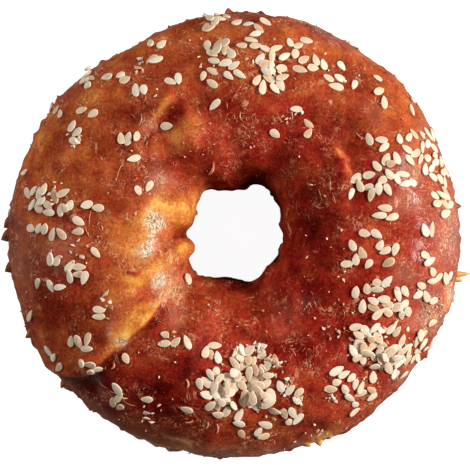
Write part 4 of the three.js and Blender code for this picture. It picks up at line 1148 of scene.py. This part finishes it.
def maths(tree, operation, a, b, clamp=False):
    """The output of one Math node."""
    return add(tree, "ShaderNodeMath", {0: a, 1: b}, operation=operation, use_clamp=clamp).outputs[0]


def times(tree, a, b, clamp=False):
    """One value times another, kept from 0 to 1 if it is clamped."""
    return maths(tree, "MULTIPLY", a, b, clamp)


def weighted(tree, start, *terms, clamp=False):
    """A value plus others, each times its own share. Only the end is clamped."""
    for i, (value, share) in enumerate(terms, 1):
        start = maths(tree, "ADD", start, times(tree, value, share), clamp and i == len(terms))
    return start


def vectors(tree, operation, a, b):
    """The output of one Vector Math node."""
    return add(tree, "ShaderNodeVectorMath", {0: a, 1: b}, operation=operation).outputs[0]


# %% Mottle
mottle, given, result = new_group("mottle", {"Size mm": 3.0, "Detail": 4.0}, ["Change"])
place = add(mottle, "ShaderNodeTexCoord").outputs["Object"]
scale = maths(mottle, "DIVIDE", 1 / MM, given.outputs["Size mm"])
cloud = add(mottle, "ShaderNodeTexNoise", {
    "Vector": place, "Scale": scale, "Detail": given.outputs["Detail"], "Roughness": 0.6}).outputs["Fac"]
mottle.links.new(times(mottle, maths(mottle, "SUBTRACT", cloud, 0.5), 2.0), result.inputs["Change"])


# %% Noise that is drawn out like the wrap
STRING_DEPTH = 0.45  # stretch along Z


def drawn_noise(group, given, lean, bend_scale, bend_reach, **cloud):
    """Noise from 0 to 1, stretched along a lean in radians, and bent by a coarser noise."""
    place = add(group, "ShaderNodeTexCoord").outputs["Object"]
    bend = add(group, "ShaderNodeTexNoise", {"Vector": place, "Scale": bend_scale, "Detail": 1.0}).outputs["Color"]
    bent = vectors(group, "ADD", place, vectors(group, "MULTIPLY", bend, (bend_reach,) * 3))
    leaned = add(group, "ShaderNodeVectorRotate", {"Vector": bent, "Angle": lean}, rotation_type="Z_AXIS").outputs[0]
    shrink = maths(group, "DIVIDE", 1.0, given.outputs["Stretch"])
    squeeze = add(group, "ShaderNodeCombineXYZ", {"X": 1.0, "Y": shrink, "Z": STRING_DEPTH}).outputs[0]
    drawn = vectors(group, "MULTIPLY", leaned, squeeze)
    scale = maths(group, "DIVIDE", 1 / MM, given.outputs["Width mm"])
    return add(group, "ShaderNodeTexNoise", {"Vector": drawn, "Scale": scale, **cloud}).outputs["Fac"]


def off_middle(tree, value):
    """How far a noise value is from its middle, 0.5."""
    return maths(tree, "ABSOLUTE", maths(tree, "SUBTRACT", value, 0.5), 0.0)


# %% Strings
string_group, given, result = new_group("strings", {"Width mm": 0.5, "Stretch": 7.0}, ["Ridge"])
thread = drawn_noise(string_group, given, math.radians(STRING_LEAN), bend_scale=60.0, bend_reach=0.010,
                     Detail=3.0, Roughness=0.65, Distortion=0.4)
valley = times(string_group, off_middle(string_group, thread), 5.0)
string_group.links.new(maths(string_group, "SUBTRACT", 1.0, valley, clamp=True), result.inputs["Ridge"])

# %% [markdown]
# Fine pale strokes lie in the glaze. They are drawn-out noise again, read in two ways. Mask keeps what is higher than
# Cut, which gives short strokes or specks. Line keeps a band, Thin on each side of the middle value, which gives long
# wavy lines. Lean turns them, so that two sets can cross.

# %% Strokes
strokes, given, result = new_group(
    "strokes", {"Width mm": 0.3, "Stretch": 5.0, "Lean": 16.0, "Cut": 0.6, "Thin": 0.05}, ["Mask", "Line"])
thread = drawn_noise(strokes, given, maths(strokes, "RADIANS", given.outputs["Lean"], 0.0), bend_scale=190.0,
                     bend_reach=0.006, Detail=1.0, Roughness=0.5)
over = maths(strokes, "SUBTRACT", thread, given.outputs["Cut"])
strokes.links.new(times(strokes, over, 14.0, clamp=True), result.inputs["Mask"])
inside = maths(strokes, "SUBTRACT", given.outputs["Thin"], off_middle(strokes, thread))
strokes.links.new(times(strokes, inside, 30.0, clamp=True), result.inputs["Line"])


# %% Use a group in a material
def placed(tree, group, output, **values):
    """A group's output in a material, with its inputs set by name; _ in a name stands for a space."""
    node = tree.nodes.new("ShaderNodeGroup")
    node.node_tree = group
    for key, value in values.items():
        node.inputs[key.replace("_", " ")].default_value = value
    return node.outputs[output]


def number_here(tree, name):
    """One of the mesh's own numbers, in a material."""
    return add(tree, "ShaderNodeAttribute", attribute_name=name).outputs["Fac"]


def linear(screen):
    """A screen colour from 0 to 255 as the linear value that a shader takes."""
    c = screen / 255
    return c / 12.92 if c <= 0.04045 else ((c + 0.055) / 1.055) ** 2.4


def ramp(tree, value, stops):
    """A colour ramp through stops of (position, (red, green, blue)), given as screen colours from 0 to 255."""
    node = add(tree, "ShaderNodeValToRGB", {"Fac": value})
    elements = node.color_ramp.elements
    for i, (position, colour) in enumerate(stops):
        element = elements[i] if i < 2 else elements.new(position)
        element.position = position
        element.color = (*[linear(c) for c in colour], 1)
    return node.outputs["Color"]


def blend(tree, share, first, second):
    """Two colours mixed; a colour may be a socket or a screen colour."""
    sides = [c if isinstance(c, bpy.types.NodeSocket) else (*[linear(v) for v in c], 1) for c in (first, second)]
    return add(tree, "ShaderNodeMix", {0: share, 6: sides[0], 7: sides[1]}, data_type="RGBA").outputs[2]


def bump_into(tree, shader, height, strength, distance, socket="Normal"):
    """Bumps of a height field, set on one of the shader's normal sockets."""
    bumps = add(tree, "ShaderNodeBump", {"Height": height, "Strength": strength, "Distance": distance})
    tree.links.new(bumps.outputs[0], shader.inputs[socket])


def new_material(name, **fixed):
    """A material with its Principled shader, and the values that are the same all over."""
    material = bpy.data.materials.new(name)
    material.use_nodes = True
    shader = material.node_tree.nodes["Principled BSDF"]
    for key, value in fixed.items():
        shader.inputs[key.replace("_", " ")].default_value = value
    return material, material.node_tree, shader


# %% [markdown]
# ### The crust's finish
#
# The crust is a translucent brown, nearly dull, and the glaze is a clear coat where the wet number says that it is
# thick. The tone picks a colour from deep maroon through red-brown and orange to yellow, and the blush blends that
# with a redder set. Mottle and strings shift the tone, so that no place is flat.

# %% Colours of the crust
BROWN_CRUST = [  # tone, screen colour
    (0.00, (42, 6, 4)), (0.16, (82, 20, 10)), (0.32, (122, 42, 20)), (0.46, (154, 65, 31)),
    (0.60, (184, 91, 43)), (0.74, (211, 122, 51)), (0.88, (229, 165, 74)), (1.00, (240, 197, 100)),
]
RED_CRUST = [
    (0.00, (46, 4, 4)), (0.16, (90, 10, 7)), (0.32, (130, 24, 16)), (0.46, (162, 44, 29)),
    (0.60, (188, 70, 46)), (0.74, (212, 100, 58)), (0.88, (236, 142, 78)), (1.00, (248, 178, 106)),
]
# pale fleck colours: fibres under the glaze, and also painted glints of the lamp on the glaze
PALE_FLECK_GLINT, RED_FLECK_GLINT, PALE_FILM_AND_SHEEN, PIT = (255, 206, 150), (228, 132, 104), (255, 232, 200), (168, 92, 34)
FLECK_GLINT_SHARE, FILM_AND_SHEEN_SHARE, PIT_SHARE = 0.95, 0.75, 0.8

# %% Crust material
crust_finish, tree, shader = new_material(
    "glazed_crust", Coat_Roughness=0.09, Coat_IOR=1.5, Subsurface_Weight=0.12, Subsurface_Scale=0.0025, IOR=1.40,
    Specular_IOR_Level=0.06)
shader.inputs["Subsurface Radius"].default_value = (1.0, 0.32, 0.12)
tone_here, blush_here, film_and_sheen_here, wet_here = [number_here(tree, name) for name in ("tone", "blush", "dry", "wet")]
broad = placed(tree, mottle, "Change", Size_mm=5.0, Detail=5.0)
middle = placed(tree, mottle, "Change", Size_mm=2.0, Detail=4.0)
close = placed(tree, mottle, "Change", Size_mm=0.6, Detail=3.0)
thread_ridge = placed(tree, string_group, "Ridge", Width_mm=0.9, Stretch=5.0)
shifted = weighted(tree, tone_here, (broad, 0.14), (middle, 0.14), (close, 0.27), (thread_ridge, 0.07))
hue_cloud = placed(tree, mottle, "Change", Size_mm=3.3, Detail=4.0)
reddened = weighted(tree, blush_here, (hue_cloud, 1.3), clamp=True)
baked = blend(tree, reddened, ramp(tree, shifted, BROWN_CRUST), ramp(tree, shifted, RED_CRUST))

# %% [markdown]
# Pale flecks are where dried fibres lie just under the glaze, and they are also painted glints of the lamp on its
# crinkles: wavy lines that a mask breaks up, and small specks, both in tufts, and closest where the glaze is thick.
# Where it is thickest, pale crinkle lines are painted highlight. A dry patch is a pale film with brown pits in it,
# and on the right side and left of the hole it is painted sheen as well.

# %% Flecks and painted glints in the glaze
waves = placed(tree, strokes, "Line", Width_mm=1.1, Stretch=2.4, Lean=16.0, Thin=0.055)
cross_waves = placed(tree, strokes, "Line", Width_mm=1.0, Stretch=1.8, Lean=-50.0, Thin=0.045)
broken = placed(tree, strokes, "Mask", Width_mm=0.8, Stretch=1.4, Lean=-20.0, Cut=0.50)
specks = placed(tree, strokes, "Mask", Width_mm=0.34, Stretch=1.6, Lean=40.0, Cut=0.62)
pits = placed(tree, strokes, "Line", Width_mm=0.65, Stretch=1.4, Lean=-20.0, Thin=0.055)
clumps = placed(tree, mottle, "Change", Size_mm=4.6, Detail=4.0)
tufted = weighted(tree, times(tree, wet_here, 1.2), (clumps, 2.6), clamp=True)
fleck_and_glint = times(tree, maths(tree, "MAXIMUM", waves, cross_waves), broken)
fleck_and_glint = maths(tree, "MAXIMUM", times(tree, fleck_and_glint, 0.8), specks)
fleck_and_glint = times(tree, fleck_and_glint, tufted)
# painted highlight: where the glaze is thickest, pale crinkle lines are painted as the lamp's glints
crinkle_glint_share = times(tree, maths(tree, "SUBTRACT", wet_here, 0.45), 2.0, clamp=True)
fleck_and_glint = maths(tree, "MAXIMUM", fleck_and_glint, times(tree, maths(tree, "MAXIMUM", waves, pits), crinkle_glint_share))
glint = blend(tree, maths(tree, "ADD", tone_here, 0.1, clamp=True), RED_FLECK_GLINT, PALE_FLECK_GLINT)
flecked_and_glinted = blend(tree, times(tree, fleck_and_glint, FLECK_GLINT_SHARE), baked, glint)

# %% Dry patches and painted sheen, roughness and coat
# the pale film is also painted sheen of the lamp, on the right side and left of the hole
frayed_film_and_sheen = times(tree, film_and_sheen_here, weighted(tree, 1.0, (close, 1.2)))
crisp = times(tree, maths(tree, "SUBTRACT", frayed_film_and_sheen, 0.34), 2.2, clamp=True)
patch = maths(tree, "MAXIMUM", crisp, times(tree, film_and_sheen_here, 0.35))
with_film_and_sheen = blend(tree, times(tree, patch, FILM_AND_SHEEN_SHARE), flecked_and_glinted, PALE_FILM_AND_SHEEN)
pitted = times(tree, pits, patch)
coloured = blend(tree, times(tree, pitted, PIT_SHARE), with_film_and_sheen, PIT)
tree.links.new(coloured, shader.inputs["Base Color"])
tree.links.new(weighted(tree, 0.50, (close, 0.16)), shader.inputs["Roughness"])
coat = times(tree, wet_here, maths(tree, "ADD", 0.8, broad), clamp=True)
tree.links.new(coat, shader.inputs["Coat Weight"])

# %% [markdown]
# The crust and its coat each have their own bumps: the crust's are fine and sharp, the coat's are soft, with a
# crinkle where it is thick.

# %% Bumps of the crust
crinkle = placed(tree, string_group, "Ridge", Width_mm=0.8, Stretch=2.4)
height = weighted(tree, times(tree, middle, 0.4), (close, 0.12), (fleck_and_glint, 0.4), (pitted, -0.5))
bump_into(tree, shader, height, strength=1.0, distance=0.4 * MM)
gloss = weighted(tree, times(tree, middle, 0.3), (times(tree, crinkle, wet_here), 0.5))
bump_into(tree, shader, gloss, strength=0.6, distance=0.3 * MM, socket="Coat Normal")
crust.data.materials.append(crust_finish)

# %% [markdown]
# ### The seeds' finish
#
# A hull is matte and a little waxy. Its middle is greyer than its raised edge, and no two seeds are the same.
# Seeds that sank into the glaze have soaked it up and turned tan.

# %% Seed material
SEED_COLOURS = [(0.0, (210, 168, 126)), (0.3, (226, 198, 164)), (0.6, (235, 213, 184)), (1.0, (249, 233, 212))]
HULL_EDGE, SOAKED_HULL = (252, 232, 212), (206, 146, 96)
seed_finish, tree, shader = new_material("seed_hull", Roughness=0.5, Subsurface_Weight=0.25, IOR=1.4)
shader.inputs["Subsurface Radius"].default_value = (1.0, 0.8, 0.5)
shader.inputs["Subsurface Scale"].default_value = 0.0008
tone_here, edge_here, soaked_here = [number_here(tree, name) for name in ("tone", "edge", "soaked")]
spread = placed(tree, mottle, "Change", Size_mm=0.8, Detail=3.0)
hull = ramp(tree, weighted(tree, tone_here, (spread, 0.3)), SEED_COLOURS)
rimmed = blend(tree, times(tree, edge_here, 0.5), hull, HULL_EDGE)
tanned = blend(tree, times(tree, soaked_here, 0.45), rimmed, SOAKED_HULL)
tree.links.new(tanned, shader.inputs["Base Color"])
bump_into(tree, shader, spread, strength=0.25, distance=0.1 * MM)
sesame.data.materials.append(seed_finish)


# %% Chips, fibres and shreds
def dry_finish(name, stops, roughness, mottle_size):
    """A dry, half clear finish whose colour is picked by the piece's tone."""
    material, tree, shader = new_material(name, Roughness=roughness, Subsurface_Weight=0.1, IOR=1.4)
    shader.inputs["Subsurface Scale"].default_value = 0.001
    change = placed(tree, mottle, "Change", Size_mm=mottle_size, Detail=3.0)
    shifted = weighted(tree, number_here(tree, "tone"), (change, 0.35))
    tree.links.new(ramp(tree, shifted, stops), shader.inputs["Base Color"])
    bump_into(tree, shader, change, strength=0.4, distance=0.1 * MM)
    return material


HULL_CHIP = [(0.0, (214, 146, 110)), (0.4, (238, 196, 164)), (0.8, (252, 230, 208)), (1.0, (255, 242, 226))]
DRY_FIBRE = [(0.2, (150, 44, 24)), (0.5, (206, 94, 58)), (0.8, (238, 158, 112)), (1.0, (250, 214, 170))]
DRY_SHRED = [(0.0, (112, 46, 28)), (0.5, (172, 106, 58)), (1.0, (236, 186, 100))]
chips.data.materials.append(dry_finish("broken_hull", HULL_CHIP, roughness=0.5, mottle_size=0.5))
fibres.data.materials.append(dry_finish("dried_fibre", DRY_FIBRE, roughness=0.3, mottle_size=1.5))
shreds.data.materials.append(dry_finish("dried_shred", DRY_SHRED, roughness=0.4, mottle_size=0.8))

# %% [markdown]
# ## Join the pieces to the bagel
#
# Nothing on a bagel moves on its own, so every piece rides on its one body. Together they stand for the solid ring,
# which stays hidden.

# %% Ride and replace
for piece, finish in ((crust, "crust"), (sesame, "sesame"), (chips, "sesame"), (fibres, "shreds"),
                      (shreds, "shreds")):
    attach(piece, "root")
    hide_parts("bagel")

# %% [markdown]
# ## Table, light and camera
#
# The table is pale. The camera sees it a little brighter than the light alone makes it, so that it stays nearly
# white in the ring's shadow too. A lamp low on the right does most of the work, and it is the only one that the
# glaze mirrors. A broad lamp at the upper left and a faint sky, brighter at the horizon, fill the shadows.

# %% Table
TABLE_HALF, TABLE_WHITE, TABLE_GLOW = 1.2, 0.50, 0.94
table_corners = [(x * TABLE_HALF, y * TABLE_HALF, 0) for x, y in ((-1, -1), (1, -1), (1, 1), (-1, 1))]
table_mesh = bpy.data.meshes.new("table_top")
table_mesh.from_pydata(table_corners, [], [(0, 1, 2, 3)])
table = bpy.data.objects.new("table_top", table_mesh)
bpy.context.scene.collection.objects.link(table)
table_finish, tree, shader = new_material("pale_table", Roughness=0.7)
shader.inputs["Base Color"].default_value = (TABLE_WHITE, TABLE_WHITE, TABLE_WHITE, 1)
shader.inputs["Specular IOR Level"].default_value = 0.1
glow = add(tree, "ShaderNodeEmission", {"Color": (1, 1, 1, 1), "Strength": TABLE_GLOW})
lit = add(tree, "ShaderNodeAddShader", {0: shader.outputs[0], 1: glow.outputs[0]})
seen = add(tree, "ShaderNodeLightPath").outputs["Is Camera Ray"]
mixed = add(tree, "ShaderNodeMixShader", {0: seen, 1: shader.outputs[0], 2: lit.outputs[0]})
tree.links.new(mixed.outputs[0], tree.nodes["Material Output"].inputs["Surface"])
table_mesh.materials.append(table_finish)


# %% Lights
LOOKED_AT = Vector((0, 0, 0.02))  # the middle of the bagel, in metres


def soft_light(name, place, size, power, colour=(1, 1, 1)):
    """A square area light that faces the bagel's middle."""
    data = bpy.data.lights.new(name, "AREA")
    data.size, data.energy, data.color = size, power, colour
    lamp = bpy.data.objects.new(name, data)
    lamp.location = place
    lamp.rotation_euler = (LOOKED_AT - Vector(place)).to_track_quat("-Z", "Y").to_euler()
    bpy.context.scene.collection.objects.link(lamp)
    return lamp


soft_light("key_right", place=(0.62, 0.08, 0.42), size=0.24, power=7.2, colour=(1.0, 0.97, 0.93))
fill = soft_light("fill_upper_left", place=(-0.60, 0.40, 0.45), size=0.60, power=4.0)
fill.visible_glossy = False

# %% Sky
SKY_BANDS = [(0.0, 0.14), (0.30, 0.12), (0.48, 0.08), (1.0, 0.07)]  # height of the ray, brightness
world = bpy.data.worlds.new("banded_sky")
world.use_nodes = True
tree = world.node_tree
height = add(tree, "ShaderNodeSeparateXYZ", {0: add(tree, "ShaderNodeTexCoord").outputs["Generated"]}).outputs["Z"]
bands = add(tree, "ShaderNodeValToRGB", {"Fac": height})
for i, (level, bright) in enumerate(SKY_BANDS):
    stop = bands.color_ramp.elements[i] if i < 2 else bands.color_ramp.elements.new(level)
    stop.position, stop.color = level, (bright, bright, bright, 1)
tree.links.new(bands.outputs["Color"], tree.nodes["Background"].inputs["Color"])
bpy.context.scene.world = world
world.cycles_visibility.glossy = False

# %% Camera
VIEW_WIDTH = 103.4  # mm across the picture, at the height of the ring's widest line
CAMERA_HEIGHT, CAMERA_OFF, SENSOR = 1200, 0.22, 36
camera_data = bpy.data.cameras.new("camera")
camera_data.sensor_width = SENSOR
camera_data.lens = SENSOR * (CAMERA_HEIGHT - WAIST_HEIGHT) / VIEW_WIDTH
camera = bpy.data.objects.new("camera", camera_data)
camera.location = (-CAMERA_OFF * MM, CAMERA_OFF * MM, CAMERA_HEIGHT * MM)
bpy.context.scene.collection.objects.link(camera)
bpy.context.scene.camera = camera
bpy.context.scene.view_settings.view_transform = "Standard"
print("lens", round(camera_data.lens, 1), "mm")
